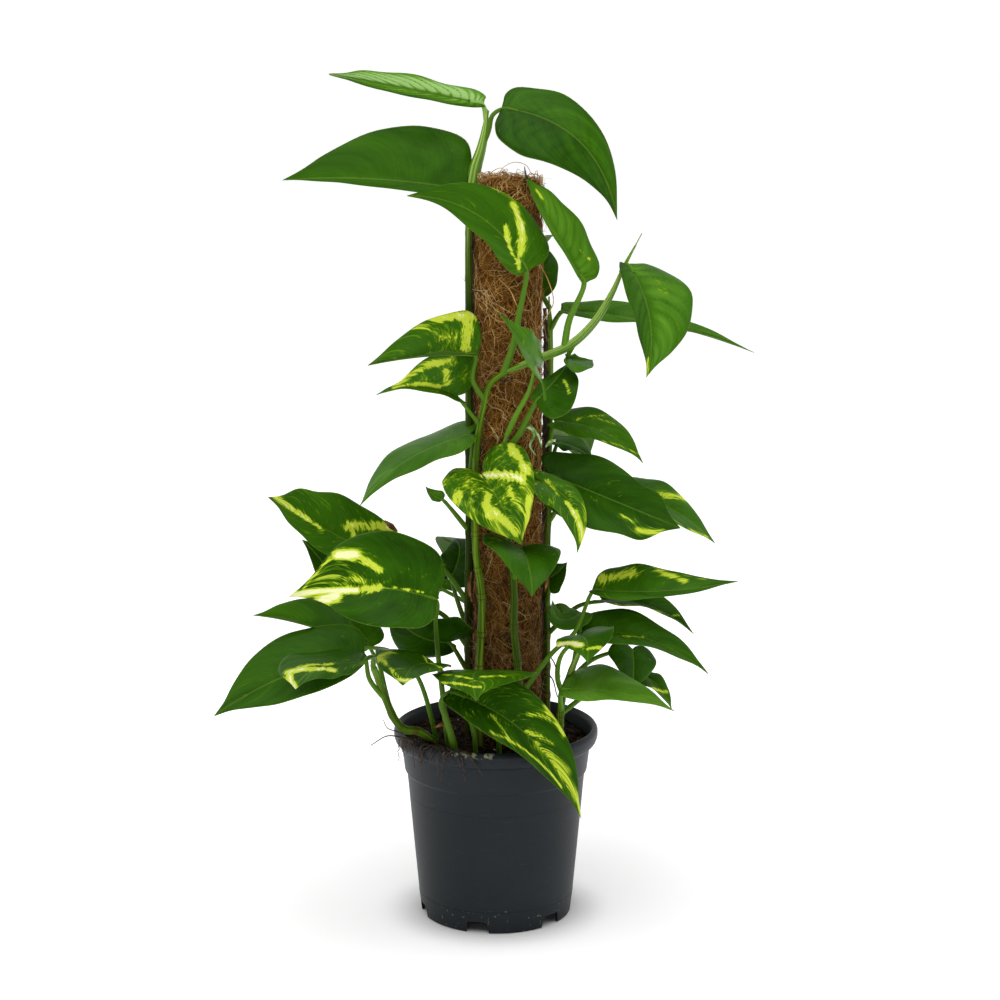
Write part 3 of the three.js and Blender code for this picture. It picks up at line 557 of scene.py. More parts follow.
def smooth_path(points, step):
    """Points at even steps along the centripetal curve through the given points."""
    given = np.array(points, float)
    padded = np.concatenate([[2 * given[0] - given[1]], given, [2 * given[-1] - given[-2]]])
    fine = []
    t = np.linspace(0, 1, 25)[:, None]
    for p0, p1, p2, p3 in zip(padded[:-3], padded[1:-2], padded[2:-1], padded[3:]):
        d0, d1, d2 = [np.linalg.norm(b - a) ** 0.5 for a, b in ((p0, p1), (p1, p2), (p2, p3))]
        leave = ((p1 - p0) / d0 - (p2 - p0) / (d0 + d1) + (p2 - p1) / d1) * d1
        arrive = ((p2 - p1) / d1 - (p3 - p1) / (d1 + d2) + (p3 - p2) / d2) * d1
        fine.append(cubic(p1, p2, leave, arrive, t))
    fine = np.concatenate([f[:-1] for f in fine] + [fine[-1][-1:]])
    run = np.concatenate([[0], np.cumsum(np.linalg.norm(np.diff(fine, axis=0), axis=1))])
    count = max(4, round(run[-1] / step))
    even = np.linspace(0, run[-1], count + 1)
    return np.stack([np.interp(even, run, fine[:, i]) for i in range(3)], axis=1)


def root_paths():
    """Roots that lie on the compost, and a tuft that hangs over the lip at the front left."""
    dice = np.random.default_rng(12)
    paths = []
    for i in range(LYING_ROOTS):
        turn = dice.uniform(0, 2 * np.pi)
        radius = dice.uniform(28, 62)
        x, y = radius * math.cos(turn), radius * math.sin(turn)
        heading = dice.uniform(0, 2 * np.pi)
        points = []
        for j in range(7):
            heading += dice.normal(0, 0.7)
            x += 4.5 * math.cos(heading)
            y += 4.5 * math.sin(heading)
            if math.hypot(x, y) > SOIL_EDGE - 2:
                break
            points.append((x, y, soil_height(x, y) + dice.uniform(0.2, 1.8)))
        if len(points) > 3:
            path = smooth_path(points, 1.5)
            paths.append((path, np.linspace(0.45, 0.2, len(path)) * MM))
    for i in range(HANGING_ROOTS):
        turn = HEAP_TURN + math.radians(dice.normal(8, 11))
        drop = dice.uniform(3, 26) * (0.4 + 0.6 * dice.random())
        side = dice.normal(0, 0.05)
        stations = [(60, soil_height(60 * math.cos(turn), 60 * math.sin(turn)) + 1),
                    (69, POT_HEIGHT - 0.5), (73.5, POT_HEIGHT + 0.6), (76, POT_HEIGHT - 3),
                    (76.3 - drop * 0.12, POT_HEIGHT - 4 - drop)]
        points = [(r * math.cos(turn + side * k), r * math.sin(turn + side * k), z)
                  for k, (r, z) in enumerate(stations)]
        path = smooth_path(points, 1.5)
        path[3:] += dice.normal(0, 0.35, (len(path) - 3, 3))
        paths.append((path, np.linspace(0.6, 0.22, len(path)) * MM))
    return paths


along_line = line_tree()
root_skin = skin("root_bark", mottled(
    300, (0.35, (24, 16, 8)), (0.65, (74, 52, 28)), stretch=(1, 1, 0.3), rough=(0.75, 0.15), depth=0.2), {})
roots = grown(chained("soil_roots", root_paths()), along_line, {
    "Sides": 5, "Ridges": 0.0, "Material": root_skin})
dress(roots, root_skin, "soil")

# ---------------------------------------------------------------------------------------------
# Pole: a wooden stake in a thick sleeve of coconut fibre. The sleeve is a felt of coarse brown
# strands that lie every way round the pole, with paler ones standing off it and a frayed top.
POLE_X = 8
POLE_RADIUS = 23.6
POLE_TOP = 537
# The coir is darkened towards its foot as painted shade: fully below the first of these heights, not at all
# above the second.
PAINTED_SHADE_BELOW = 160
PAINTED_SHADE_ENDS_ABOVE = 340
SLEEVE_BOTTOM = 104
SLEEVE_COLUMNS = 120
SLEEVE_RINGS = 210
FIBRE_BOTTOM = 122


def make_sleeve():
    heights = np.linspace(SLEEVE_BOTTOM, POLE_TOP - 5, SLEEVE_RINGS)
    profile = [(0, SLEEVE_BOTTOM), *[(POLE_RADIUS, z) for z in heights], (POLE_RADIUS - 2, POLE_TOP - 2),
               (POLE_RADIUS - 5, POLE_TOP), (POLE_RADIUS - 14, POLE_TOP + 0.5), (0, POLE_TOP + 0.5)]
    points, faces = revolved(profile, SLEEVE_COLUMNS)
    for point in points:
        x, y, z = point
        radius = math.hypot(x, y)
        if radius < 1:
            continue
        angle = math.atan2(y, x)
        wave = 0.5 * math.sin(3 * angle + z / 17) + 0.4 * math.sin(5 * angle - z / 11) - 0.5
        tuft = 1.1 * noise.noise(Vector((x / 7, y / 7, z / 16)))
        lump = wave + (tuft + 0.6 * noise.noise(Vector((x / 2.5, y / 2.5, z / 6))))
        point[:2] *= (radius + lump) / radius
        if z > POLE_TOP - 8:
            point[2] += 2.5 * noise.noise(Vector((x / 6, y / 6, 3)))
    points[:, 0] += POLE_X
    return new_piece("coir_felt", in_place(points), faces)


def felt_pattern(place):
    warp = place.noise(30, detail=2)
    slant = place.make("ShaderNodeMapping", None, {"Vector": place, "Rotation": (0.5, 0.35, 0)})
    counter = place.make("ShaderNodeMapping", None, {"Vector": place, "Rotation": (-0.45, -0.5, 0)})
    strands = slant.noise(620, detail=3, stretch=(1, 1, 0.1))
    crossing = counter.noise(560, detail=3, stretch=(1, 1, 0.12))
    fibre = strands.math("MAXIMUM", strands, crossing)
    brown = fibre.colours((0.42, (32, 18, 2)), (0.58, (108, 70, 18)), (0.74, (190, 142, 66)))
    # Painted shade: the felt darkens towards the pole's foot.
    damp_and_painted_shade = 1 - place.parts()[2].rise(PAINTED_SHADE_BELOW * MM, PAINTED_SHADE_ENDS_ABOVE * MM)
    brown = brown.mix(warp * 0.3, (84, 54, 14)).mix(damp_and_painted_shade * 0.45, (30, 18, 6))
    return {"Base Color": brown, "Roughness": 0.85 + warp * 0.1,
            "relief": fibre, "depth": 1.4 * MM}


def fibre_tree():
    """Strands wound on a round pole, each at a slant of its own, wandering and lifting at its ends."""
    given = geometry_tree("fibres wound on a pole", {
        "Count": "Int", "Seed": "Int", "Bottom": "Float", "Top": "Float", "Radius": "Float",
        "Length": "Float", "Thickness": "Float", "Lift": "Float", "Wander": "Float",
        "Slant": "Float", "Axis X": "Float", "Axis Y": "Float", "Material": "Material"})
    wire = given["Geometry"]
    strand = wire.make("GeometryNodeCurvePrimitiveLine", None, {"End": (0.0, 0.0, 1.0)})
    strand = wire.make("GeometryNodeResampleCurve", None, {"Curve": strand, "Count": 8})
    strands = wire.make("GeometryNodeDuplicateElements", {"domain": "SPLINE"},
                        {"Geometry": strand, "Amount": given["Count"]})
    index = Wire(wire.tree, strands.socket.node.outputs["Duplicate Index"])
    share = wire.make("GeometryNodeSplineParameter", None, None, "Factor")

    def dice(low, high, number):
        return chance(wire, low, high, given["Seed"] + number, index)

    swing = share.joined(index * 0.731, share * 1.7, given["Seed"] * 1.0)
    swing = swing.make("ShaderNodeTexNoise", None, {"Vector": swing, "Scale": 2.3, "Detail": 2.0}, "Color")
    sway, rock, puff = swing.parts()
    reach = (share - 0.5) * given["Length"] * dice(0.35, 1.0, 1)
    slope = given["Slant"] * dice(-1.0, 1.0, 2)
    ends = (share * 2 - 1) ** 2
    height = dice(given["Bottom"], given["Top"], 3) + reach * slope.of("COSINE")
    height = height + (rock - 0.5) * given["Wander"]
    turn = dice(0.0, 2 * math.pi, 4) + reach * slope.of("SINE") / given["Radius"]
    turn = turn + (sway - 0.5) * given["Wander"] / given["Radius"]
    lift = given["Lift"] * dice(0.0, 1.0, 5) ** 3 * ends + (puff - 0.5) * 2.4 * MM
    radius = given["Radius"] + lift + dice(-0.3, 0.7, 6) * MM
    x = given["Axis X"] + radius * turn.of("COSINE")
    y = given["Axis Y"] + radius * turn.of("SINE")
    height = height.math("MINIMUM", height, given["Top"] + dice(-5.0, 3.0, 9) * MM)
    laid = wire.make("GeometryNodeSetPosition", None,
                     {"Geometry": strands, "Position": wire.joined(x, y, height)})
    laid = stored(laid, "strand", dice(0.0, 1.0, 7))
    circle = wire.make("GeometryNodeCurvePrimitiveCircle", None, {"Resolution": 3, "Radius": 1.0})
    thick = given["Thickness"] * dice(0.55, 1.25, 8) * (1 - 0.6 * ends)
    mesh = wire.make("GeometryNodeCurveToMesh", None,
                     {"Curve": laid, "Profile Curve": circle, "Scale": thick, "Fill Caps": True})
    return end_tree(mesh, given["Material"])


def fibre_pattern(place):
    strand = place.attribute("strand")
    patch = place.noise(45, detail=2)
    brown = strand.colours((0, (70, 40, 6)), (0.35, (138, 90, 28)), (0.7, (188, 136, 60)),
                           (0.9, (222, 178, 108)), (1, (244, 220, 166)))
    # Painted shade: the strands darken towards the pole's foot.
    damp_and_painted_shade = 1 - place.parts()[2].rise(PAINTED_SHADE_BELOW * MM, PAINTED_SHADE_ENDS_ABOVE * MM)
    brown = brown.mix(patch * 0.25, (92, 54, 12)).mix(damp_and_painted_shade * 0.4, (44, 24, 8))
    return {"Base Color": brown, "Roughness": 0.6 + patch * 0.2, "relief": patch, "depth": 0.1 * MM}


wood_skin = skin("stake_wood", mottled(
    60, (0.35, (140, 104, 66)), (0.65, (196, 160, 112)), detail=4, stretch=(1, 1, 0.06), rough=(0.7, 0.15),
    depth=0.3), {})
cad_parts["pole_core"].material_slots[0].material = wood_skin
felt = make_sleeve()
dress(felt, skin("coir_felt", felt_pattern, MATTE), "coir", "coir_sleeve")
winding = fibre_tree()
fibre_skin = skin("coir_strand", fibre_pattern)
pole_place = {"Axis X": POT_X + POLE_X * MM, "Axis Y": POT_Y, "Radius": POLE_RADIUS * MM,
              "Bottom": FIBRE_BOTTOM * MM, "Top": POLE_TOP * MM, "Material": fibre_skin}
matted = grown(new_piece("coir_matted_fibres", [(0, 0, 0)], []), winding, {
    **pole_place, "Count": 4300, "Seed": 20, "Length": 46 * MM, "Thickness": 0.26 * MM, "Lift": 2.5 * MM,
    "Wander": 16 * MM, "Slant": 1.35})
dress(matted, fibre_skin, "coir")
loose = grown(new_piece("coir_loose_fibres", [(0, 0, 0)], []), winding, {
    **pole_place, "Count": 900, "Seed": 41, "Length": 62 * MM, "Thickness": 0.2 * MM, "Lift": 9 * MM,
    "Wander": 34 * MM, "Slant": 1.5})
dress(loose, fibre_skin, "coir")

# ---------------------------------------------------------------------------------------------
# Stems: green living stems, a little thinner than a pencil, ridged along their length, that thicken
# at each joint. A joint carries a leaf stalk, and a brown ring where an old sheath sat. The stems
# stand in the compost and climb the pole, and two shoots lean out over the lip.

# Each stem: its radius at the foot and at the tip, how far painted shade darkens its green, and points of
# its middle line.
STEMS = {
    "front_vine": (3, 1.2, 0, [
        (-12, -27, 112), (-12, -26, 150), (-12, -25, 188), (-10, -25, 241), (-14, -23, 274),
        (-15, -22, 314), (-13, -24, 353), (-9, -26, 378), (-4, -29, 396), (10, -33, 407),
        (30, -34, 414), (52, -30, 424), (69, -27, 440), (81, -25, 460), (89, -25, 478),
        (101, -26, 501)]),
    "middle_vine": (3, 2.2, 0.5, [
        (18, -30, 112), (17, -30, 150), (16, -29, 188), (13, -30, 220), (13, -30, 250),
        (9, -30, 285), (6, -30, 320), (5, -30, 345), (9, -31, 366)]),
    "top_vine": (3, 2.2, 0.75, [
        (-20, 8, 112), (-20, 6, 182), (-20, 0, 232), (-19, -8, 277), (-19, -9, 322), (-19, -9, 380),
        (-19, -8, 452), (-19, -9, 494), (-18, -12, 522), (-14, -8, 545), (-8, -6, 566), (-5, -6, 584)]),
    "right_vine": (3, 2, 0.6, [
        (37, 8, 112), (37, 10, 183), (37, 12, 231), (37, 14, 268), (38, 14, 305), (38, 14, 342),
        (39, 16, 378), (39, 18, 414), (38, 20, 452)]),
    "back_vine": (3, 2, 0.3, [
        (6, 33, 112), (4, 30, 180), (8, 30, 260), (13, 30, 340), (6, 30, 420), (8, 30, 490)]),
    "left_shoot": (3.2, 2.4, 0.4, [
        (-37, -33, 112), (-42, -38, 134), (-54, -46, 149), (-65, -50, 152), (-72, -50, 160),
        (-77, -50, 172), (-82, -50, 186), (-88, -50, 202)]),
    "right_shoot": (3, 2.2, 0.2, [
        (45, -34, 112), (46, -33, 150), (48, -32, 172), (53, -31, 187), (60, -30, 206)]),
}
# The heights of each stem's joints.
JOINTS = {
    "front_vine": [160, 190, 215, 243, 262, 288, 314, 342, 360, 384, 404, 421, 440, 458, 474, 489],
    "middle_vine": [168, 195, 222, 255, 280, 305, 328, 347, 360],
    "top_vine": [150, 178, 196, 210, 232, 255, 286, 318, 345, 375, 405, 435, 468, 500, 530, 556, 576],
    "right_vine": [160, 182, 205, 225, 250, 268, 288, 306, 324, 345, 366, 388, 408, 428, 444],
    "back_vine": [158, 176, 200, 220, 240, 262, 286, 305, 325, 350, 375, 400, 425, 450, 478],
    "left_shoot": [140, 152, 163, 176, 187, 198],
    "right_shoot": [150, 158, 168, 179, 190, 200],
}


def stem_path(name):
    """A stem's middle line with its thickness, its joints, its age and its painted shade at each point."""
    radius, tip, dark, points = STEMS[name]
    path = smooth_path(points, 1)
    share = np.linspace(0, 1, len(path))
    joints = np.array(JOINTS[name])[:, None]
    near = np.abs(path[:, 2] - joints).min(axis=0)
    thick = radius + (tip - radius) * share ** 1.5
    thick = thick * (0.96 + 0.18 * (1 - 0.7 * share) * np.exp(-(near / 2.4) ** 2))
    scar = np.exp(-((near - 1.8) / 0.8) ** 2) * (1 - 0.8 * share)
    thick = thick * np.clip((1 - share) / 0.05, 0.3, 1)
    return path, thick * MM, scar, 1 - share, np.full(len(path), dark)


def round_place(place, stretch):
    """A place on a tube that meets itself round the tube: a circle, and the length times a stretch."""
    around = place.attribute("around") * (2 * math.pi)
    return place.joined(around.of("COSINE"), around.of("SINE"), place.attribute("along") * stretch)


def stem_pattern(place):
    scar = place.attribute("scar")
    age = place.attribute("age")
    spot = round_place(place, 18)
    stripe = spot.noise(2.6, detail=3, stretch=(1, 1, 0.5))
    patch = spot.noise(1.2, detail=4, stretch=(1, 1, 2))
    green = stripe.colours((0.3, (46, 76, 5)), (0.5, (78, 112, 10)), (0.68, (132, 160, 42)))
    young = stripe.colours((0.3, (70, 106, 18)), (0.5, (106, 144, 42)), (0.7, (164, 190, 98)))
    # Painted shade: a stem that stands in shade gets a darker green.
    green = green.mix(place.attribute("dark"), (22, 42, 2)).mix((1 - age).rise(0.7, 0.95), young)
    bark = patch.colours((0.35, (46, 38, 12)), (0.65, (96, 78, 34)))
    old = (age * 1.1 + patch * 0.8 - 0.9).rise(0.2, 0.7)
    green = green.mix(old * 0.45, bark).mix(scar.rise(0.3, 0.75) * 0.75, (70, 50, 20))
    return {"Base Color": green, "Roughness": 0.42 + scar * 0.3 + old * 0.15,
            "relief": stripe * 0.5 + scar + patch * 0.3, "depth": 0.35 * MM}


stem_skin = skin("stem_skin", stem_pattern, {"IOR": 1.3, "Specular IOR Level": 0.2})
for stem_name in STEMS:
    host = chained("grown_" + stem_name, [stem_path(stem_name)], ("thickness", "scar", "age", "dark"))
    grown(host, along_line, {"Sides": 18, "Ridges": 0.025, "Material": stem_skin})
    dress(host, stem_skin, "stem", stem_name)

# ---------------------------------------------------------------------------------------------
# Leaves: heart-shaped blades on stalks of their own. A blade is thin, leathery and glossy, quilted
# between its side veins, with a furrow along the midrib above and a ridge below, and its green is
# splashed and streaked with yellow and cream along the veins.


@dataclass
class Leaf:
    """One leaf, in millimetres from the pot's axis and degrees. Shares run from the base to the tip."""
    start: object  # the height of its joint on the stem, or its place in the soil
    base: tuple  # where the midrib starts
    tip: tuple
    face: tuple  # the way the upper side looks
    halves: tuple  # half widths on either side of the midrib
    tone: float  # how pale its green is
    via: tuple = ()  # where the stalk passes between its start and the blade
    arch: float = 6  # how far the middle rises above the line from base to tip
    bend: float = 0  # and how far it stands to the side
    fold: float = 12  # how steeply the halves rise from the midrib
    lobe: float = 0.11  # how far the lobes reach back past the base, as a share
    belly: float = 0  # shifts the widest part towards the tip
    tail: float = 1  # the width before the tip
    twist: float = 0  # how far the tip turns about the midrib
    curl: float = 3  # how far the edge turns down
    wave: float = 1.5  # how far the edge ripples
    stalk: float = 1.7  # the stalk's radius
    sweep: float = 0.27  # how far the side veins lean towards the tip
    pleat: float = 0.14  # how deep the furrows over the side veins are
    # Painted highlight and shade: the next field paints glints on the quilted crests between the side veins
    # and shade in their furrows.
    painted_pleat_glint: float = 0  # how much paler the blade is between them
    # Painted light and shade: the next field makes either half paler (plus) and darker (minus) for the way
    # that half faces the light.
    painted_half_shade: tuple = (0, 0)  # how much paler either half is
    pale: float = 0  # yellow speckles all over
    marks: tuple = ()  # yellow streaks: along and across at each end, width, strength

    @property
    def length(self):
        return np.linalg.norm(np.subtract(self.tip, self.base))


LEAVES = {
    "top_vine": [
        Leaf(576, (-8, -5, 588.4), (-114, -20, 609.4), (-0.4, -0.6, 0.7), (8, 13), 0.9, arch=0, fold=30,
             lobe=0, belly=0.1, tail=1.4, twist=25, pleat=0.9, painted_pleat_glint=0.65, painted_half_shade=(-0.35, 0.05)),
        Leaf(556, (4, -7, 586), (84, -25, 510), (0.2, -0.9, 0.5), (24, 34), 0.2,
             via=[(-5, -9, 570), (-2, -9, 581)], arch=14, bend=-16, fold=6, lobe=0, sweep=0.55, pleat=0.3,
             painted_pleat_glint=0.12, painted_half_shade=(0.14, 0.02)),
        Leaf(500, (-20, -16, 530), (-146, -35, 538), (-0.1, -0.8, 0.6), (8, 44), 0.3, arch=0, bend=5,
             fold=16, lobe=0),
        Leaf(318, (-18, -24, 360), (-94, -58, 316), (-0.1, -0.2, 1), (19, 30), 0.46, arch=3, bend=13,
             fold=0, lobe=0.05, stalk=1.3),
        Leaf(286, (-38, -16, 311), (-50, -16, 321), (-0.6, -0.8, 0), (6, 6), 0.55, arch=2, lobe=0, wave=0.5),
        Leaf(210, (-33, 24, 245), (-32, 45, 270), (-0.2, -0.5, 0.9), (14, 16), 0.1, via=[(-27, 10, 228)],
             arch=9, bend=8, fold=22),
        Leaf(178, (-34, -10, 205), (-76, -34, 237), (-0.7, -0.6, 0.4), (25, 33), 0.12, bend=-4, fold=8,
             lobe=0.2),
        Leaf(232, (-88, -20, 273), (-160, -35, 317), (-0.2, -0.6, 0.8), (26, 31), 0.35, via=[(-44, 0, 262)],
             arch=-1, fold=22, lobe=0.25, belly=0.1, tail=1.4, pale=0.15,
             marks=[(0.95, 0.1, 0.5, -0.05, 2, 0.9), (0.3, 0.3, 0, 0.8, 4, 0.6),
             (0.25, 0.4, 0.2, 0.15, 2, 0.9), (0, 0.75, -0.05, 0.75, 3, 1.2)]),
        Leaf(196, (-112, 14, 235), (-140, 4, 278), (0, -0.7, 0.7), (13, 25), 0.15,
             via=[(-40, 8, 222), (-76, 10, 230)], lobe=0.05, pale=0.05)],
    "front_vine": [
        Leaf(384, (-13, -35, 418), (-88, -53, 413), (0.1, -0.4, 0.9), (11, 32), 0.26, via=[(-16, -32, 400)],
             arch=3, fold=40, lobe=0.05, belly=-0.1, curl=0, painted_half_shade=(-0.12, 0.12), pale=0.2,
             marks=[(0.35, 0.85, 0, 0.9, 3.5, 0.9), (0.05, 0.9, 0.1, 0.15, 4, 0.8),
             (0.5, 0.7, 0.2, 0.3, 5.5, 0.5)]),
        Leaf(366, (-27, -24, 387), (-83, -45, 391), (0.4, -0.8, 0.4), (8, 29), 0.4, via=[(-20, -30, 379)],
             arch=7, bend=5, fold=36, belly=-0.1, tail=0.5, twist=15, curl=0, stalk=1.2, pale=0.25,
             marks=[(0.75, 0.15, 0.25, 0.8, 3, 0.8), (0.25, 0.6, 0.2, 0.2, 3, 0.7),
             (0.8, 0.05, 0.25, 0.05, 1.5, 0.8), (0.55, 0.5, 0.35, 0.75, 2, 0.6)]),
        Leaf(404, (22, -34, 476), (-60, -55, 529), (0.1, -0.8, 0.6), (19, 28), 0.36,
             via=[(12, -36, 424), (16, -33, 445)], arch=3, bend=15, fold=20, lobe=0, stalk=2.3, sweep=0.5,
             pale=0.1, marks=[(0.35, 0.8, 0.25, 0.6, 2, 1), (0.25, 0.6, 0.15, 0.25, 2.5, 1),
             (0.15, 0.25, 0.05, -0.4, 2, 0.9), (0.3, 0.2, 0.15, -0.25, 2, 0.9),
             (0.15, -0.25, 0.05, -0.3, 1.5, 0.7), (0.5, 0.8, 0.3, 0.95, 1, 0.8)]),
        Leaf(421, (62, -32, 467), (20, -24, 541), (0.4, -0.5, 0.7), (8, 20), 0.56, via=[(51, -25, 440)],
             arch=-1, fold=30, lobe=0, belly=0.1, tail=1.3, twist=15, curl=0, stalk=2.3, pleat=0.4,
             painted_pleat_glint=0.15, pale=0.05, marks=[(0.85, 0.1, 0.7, 0.25, 1, 0.5), (0.25, 0.45, 0.15, 0.6, 1, 0.6)]),
        Leaf(474, (91, -32, 481), (104, -50, 404), (0.6, -0.5, 0.6), (39, 16), 0.4, arch=13, bend=2, fold=5,
             lobe=0, belly=0.1, twist=-30, curl=0, pleat=0.5, painted_pleat_glint=0.2, painted_half_shade=(0.1, -0.05),
             marks=[(0.85, 0.1, 1, 0, 1.5, 0.6), (0.2, -0.4, 0.4, -0.55, 2, 0.35)]),
        Leaf(314, (-9, -44, 334), (18, -68, 290), (-0.2, -0.7, 0.7), (36, 33), 0.35, via=[(-13, -36, 330)],
             arch=12, fold=27, lobe=0.25, curl=2, pale=0.36, marks=[(0, 0, 0.4, -0.65, 2, 1.3),
             (0, -0.8, 0.35, -0.8, 3, 0.9), (0.3, 0.15, 0.55, 0.4, 2.5, 0.9),
             (0.2, 0.75, 0.3, 0.95, 3.5, 0.9), (0.5, 0.25, 0.85, 0, 3, 0.9),
             (0.4, -0.3, 0.65, -0.3, 3.5, 0.6), (0.6, -0.55, 0.95, -0.1, 2, 0.8)]),
        Leaf(426, (50, -24, 414), (68, -18, 412), (0.1, -0.4, 0.9), (8, 23), 0.45, arch=0, bend=2, fold=18)],
    "middle_vine": [
        Leaf(360, (28, -54, 412), (2, -82, 453), (0.8, -0.4, 0.5), (28, 19), 0.5,
             via=[(14, -40, 376), (23, -46, 394)], arch=5, bend=-9, fold=20, lobe=0.3, pale=0.1),
        Leaf(347, (28, -37, 386), (50, -16, 409), (-0.2, -0.8, 0.5), (8, 24), 0.3, via=[(14, -33, 358)],
             bend=4, lobe=0.05, stalk=2.2, marks=[(0.55, 0.2, 0.4, 0.65, 1, 0.6)]),
        Leaf(305, (32, -51, 331), (56, -77, 286), (0.3, -0.8, 0.6), (11, 25), 0.35, via=[(18, -44, 325)],
             bend=-10, fold=30, lobe=0.2, pale=0.25, marks=[(0.05, -0.2, 0.25, 0.25, 2, 0.7),
             (0.4, 0.15, 0.85, -0.2, 3, 0.95), (0.5, -0.8, 0.65, -0.55, 3, 0.5)]),
        Leaf(255, (17, -50, 285), (25, -92, 259), (0.2, -0.1, 1), (26, 34), 0.33, via=[(16, -38, 272)],
             fold=20, lobe=0, pale=0.15),
        Leaf(168, (68, -38, 251), (170, -50, 260), (0, -0.4, 0.9), (26, 8), 0.34,
             via=[(40, -36, 204), (56, -38, 220)], arch=5, bend=13, fold=18, lobe=0, pale=0.1,
             marks=[(0.05, -0.4, 0.25, -0.65, 5, 0.75), (0.45, -0.75, 0.65, -0.3, 3, 0.8),
             (0.65, -0.5, 0.8, -0.25, 1, 0.6)])],
    "right_vine": [
        Leaf(428, (46, 12, 443), (182, -10, 416), (-0.3, -0.3, 0.9), (15, 12), 0.52, arch=7, fold=28,
             lobe=0, twist=5, curl=4),
        Leaf(444, (31, 29, 457), (35, 54, 485), (0.3, -0.7, 0.6), (8, 14), 0.3, arch=4, fold=38, lobe=0.15),
        Leaf(345, (42, -1, 365), (104, -23, 339), (0, -0.5, 0.9), (20, 12), 0.45, arch=7, bend=-4, fold=18,
             lobe=0.05, belly=0.1, curl=5, pale=0.1, marks=[(0.2, -0.15, 0.45, -0.85, 1, 0.7),
             (0.3, -0.4, 0.55, -0.6, 1, 0.7), (0.55, 0.8, 0.9, -0.1, 1, 0.5)]),
        Leaf(306, (38, -17, 330), (129, -50, 298), (-0.1, -0.6, 0.8), (26, 38), 0.2, arch=4, bend=3,
             fold=26, belly=0.1, tail=1.5, twist=-25, pale=0.05, marks=[(0.75, 0.45, 0.9, 0.25, 3, 0.65),
             (0.6, 0.3, 0.7, 0.3, 2, 0.5)]),
        Leaf(288, (91, 14, 311), (158, 0, 276), (0.3, -0.4, 0.9), (25, 27), 0.4, via=[(58, 14, 314)],
             arch=10, bend=4, fold=15, marks=[(0.35, -0.35, 0.55, -0.75, 3, 0.7),
             (0.7, 0.5, 0.9, 0.1, 2, 0.6), (0.35, 0.7, 0.7, 0.55, 1.5, 0.6)]),
        Leaf(324, (45, 24, 346), (69, 10, 336), (0.3, -0.3, 0.9), (15, 8), 0.3, arch=1, bend=-3, lobe=0.2),
        Leaf(225, (39, 0, 251), (51, -8, 264), (0, -0.8, 0.6), (11, 15), 0.2, arch=1, bend=2, fold=26,
             lobe=0),
        Leaf(205, (77, 0, 234), (142, -20, 214), (-0.1, -0.2, 1), (19, 18), 0.22, via=[(60, 6, 228)],
             arch=9, fold=30, lobe=0.05, pale=0.05, marks=[(0.15, 1, 0.45, 0.8, 1, 0.6),
             (0.55, 0.75, 0.8, -0.3, 1, 0.6)])],
    "right_shoot": [
        Leaf(200, (61, -26, 217), (151, -45, 191), (0.3, -0.4, 0.9), (24, 20), 0.4, arch=10, bend=-3,
             fold=20, lobe=0, marks=[(0.3, 0.4, 0.45, 0, 1.5, 0.6)]),
        Leaf(172, (60, -58, 223), (63, -90, 212), (-0.2, -0.3, 0.9), (22, 21), 0.35,
             via=[(44, -37, 186), (47, -51, 208)], arch=3, bend=-3, lobe=0.2, pale=0.05,
             marks=[(0.2, 0.9, 0.5, 0.3, 3, 1.4), (0.65, 0, 0.7, -0.4, 1.5, 0.9)]),
        Leaf(160, (46, -48, 181), (126, -62, 169), (0.2, -0.4, 0.9), (31, 9), 0.64, arch=9, bend=3, fold=2,
             lobe=0),
        Leaf(178, (99, -5, 199), (98, -22, 173), (0.5, -0.8, 0.4), (19, 21), 0.2, via=[(70, -16, 194)],
             arch=2, fold=9),
        Leaf(158, (106, 5, 178), (128, -8, 154), (0.5, -0.6, 0.6), (9, 13), 0.35, via=[(74, -6, 170)],
             arch=5, fold=22, lobe=0, pale=0.05, marks=[(0.45, 0.85, 0.65, -0.3, 1.5, 0.7)]),
        Leaf(195, (61, -12, 228), (41, -8, 236), (-0.5, -0.1, 0.9), (15, 20), 0.5, arch=-3, bend=-14,
             lobe=0.05)],
    "left_shoot": [
        Leaf(172, (-92, -55, 209), (-196, -81, 171), (-0.4, -0.6, 0.7), (31, 30), 0.3,
             via=[(-89, -54, 190)], arch=0, bend=9, fold=19, lobe=0, belly=0.1, twist=15, curl=1, pale=0.05),
        Leaf(198, (-93, -86, 211), (-135, -124, 203), (-0.4, -0.4, 0.8), (21, 35), 0.28,
             via=[(-86, -60, 207), (-89, -75, 211)], arch=2, bend=13, fold=3, lobe=0, belly=0.1, twist=5,
             pale=0.1, marks=[(0.7, 0.35, 0.35, -0.55, 3, 1.1), (0.75, 0.3, 1, 0, 2, 1.1),
             (0.55, 0.25, 0.3, 0, 2, 0.8)]),
        Leaf(166, (-91, 1, 198), (-130, 13, 218), (0, -0.5, 0.9), (14, 18), 0.42,
             via=[(-79, -38, 178), (-84, -17, 190)], arch=8, bend=4, fold=24, lobe=0)],
    "soil": [
        Leaf((-30, -38, 112), (-40, -80, 254), (-141, -100, 261), (0, -0.8, 0.6), (31, 41), 0.22,
             via=[(-35, -38, 145), (-38, -39, 176), (-41, -41, 205), (-42, -58, 232)], arch=4, bend=7,
             fold=10, lobe=0, belly=0.1, tail=0.8, twist=10, curl=2, stalk=2, pale=0.06,
             marks=[(1, 0, 0.55, -0.1, 2, 1.5), (0.8, -0.3, 0.7, -0.2, 4, 1.4),
             (0.55, -0.1, 0.4, 0, 3, 0.8), (0.65, 0.55, 0.55, 0.55, 3, 1.4),
             (0.55, 0.55, 0.4, 0.3, 2.5, 0.9), (0.85, 0.2, 0.5, 0.1, 5.5, 0.5),
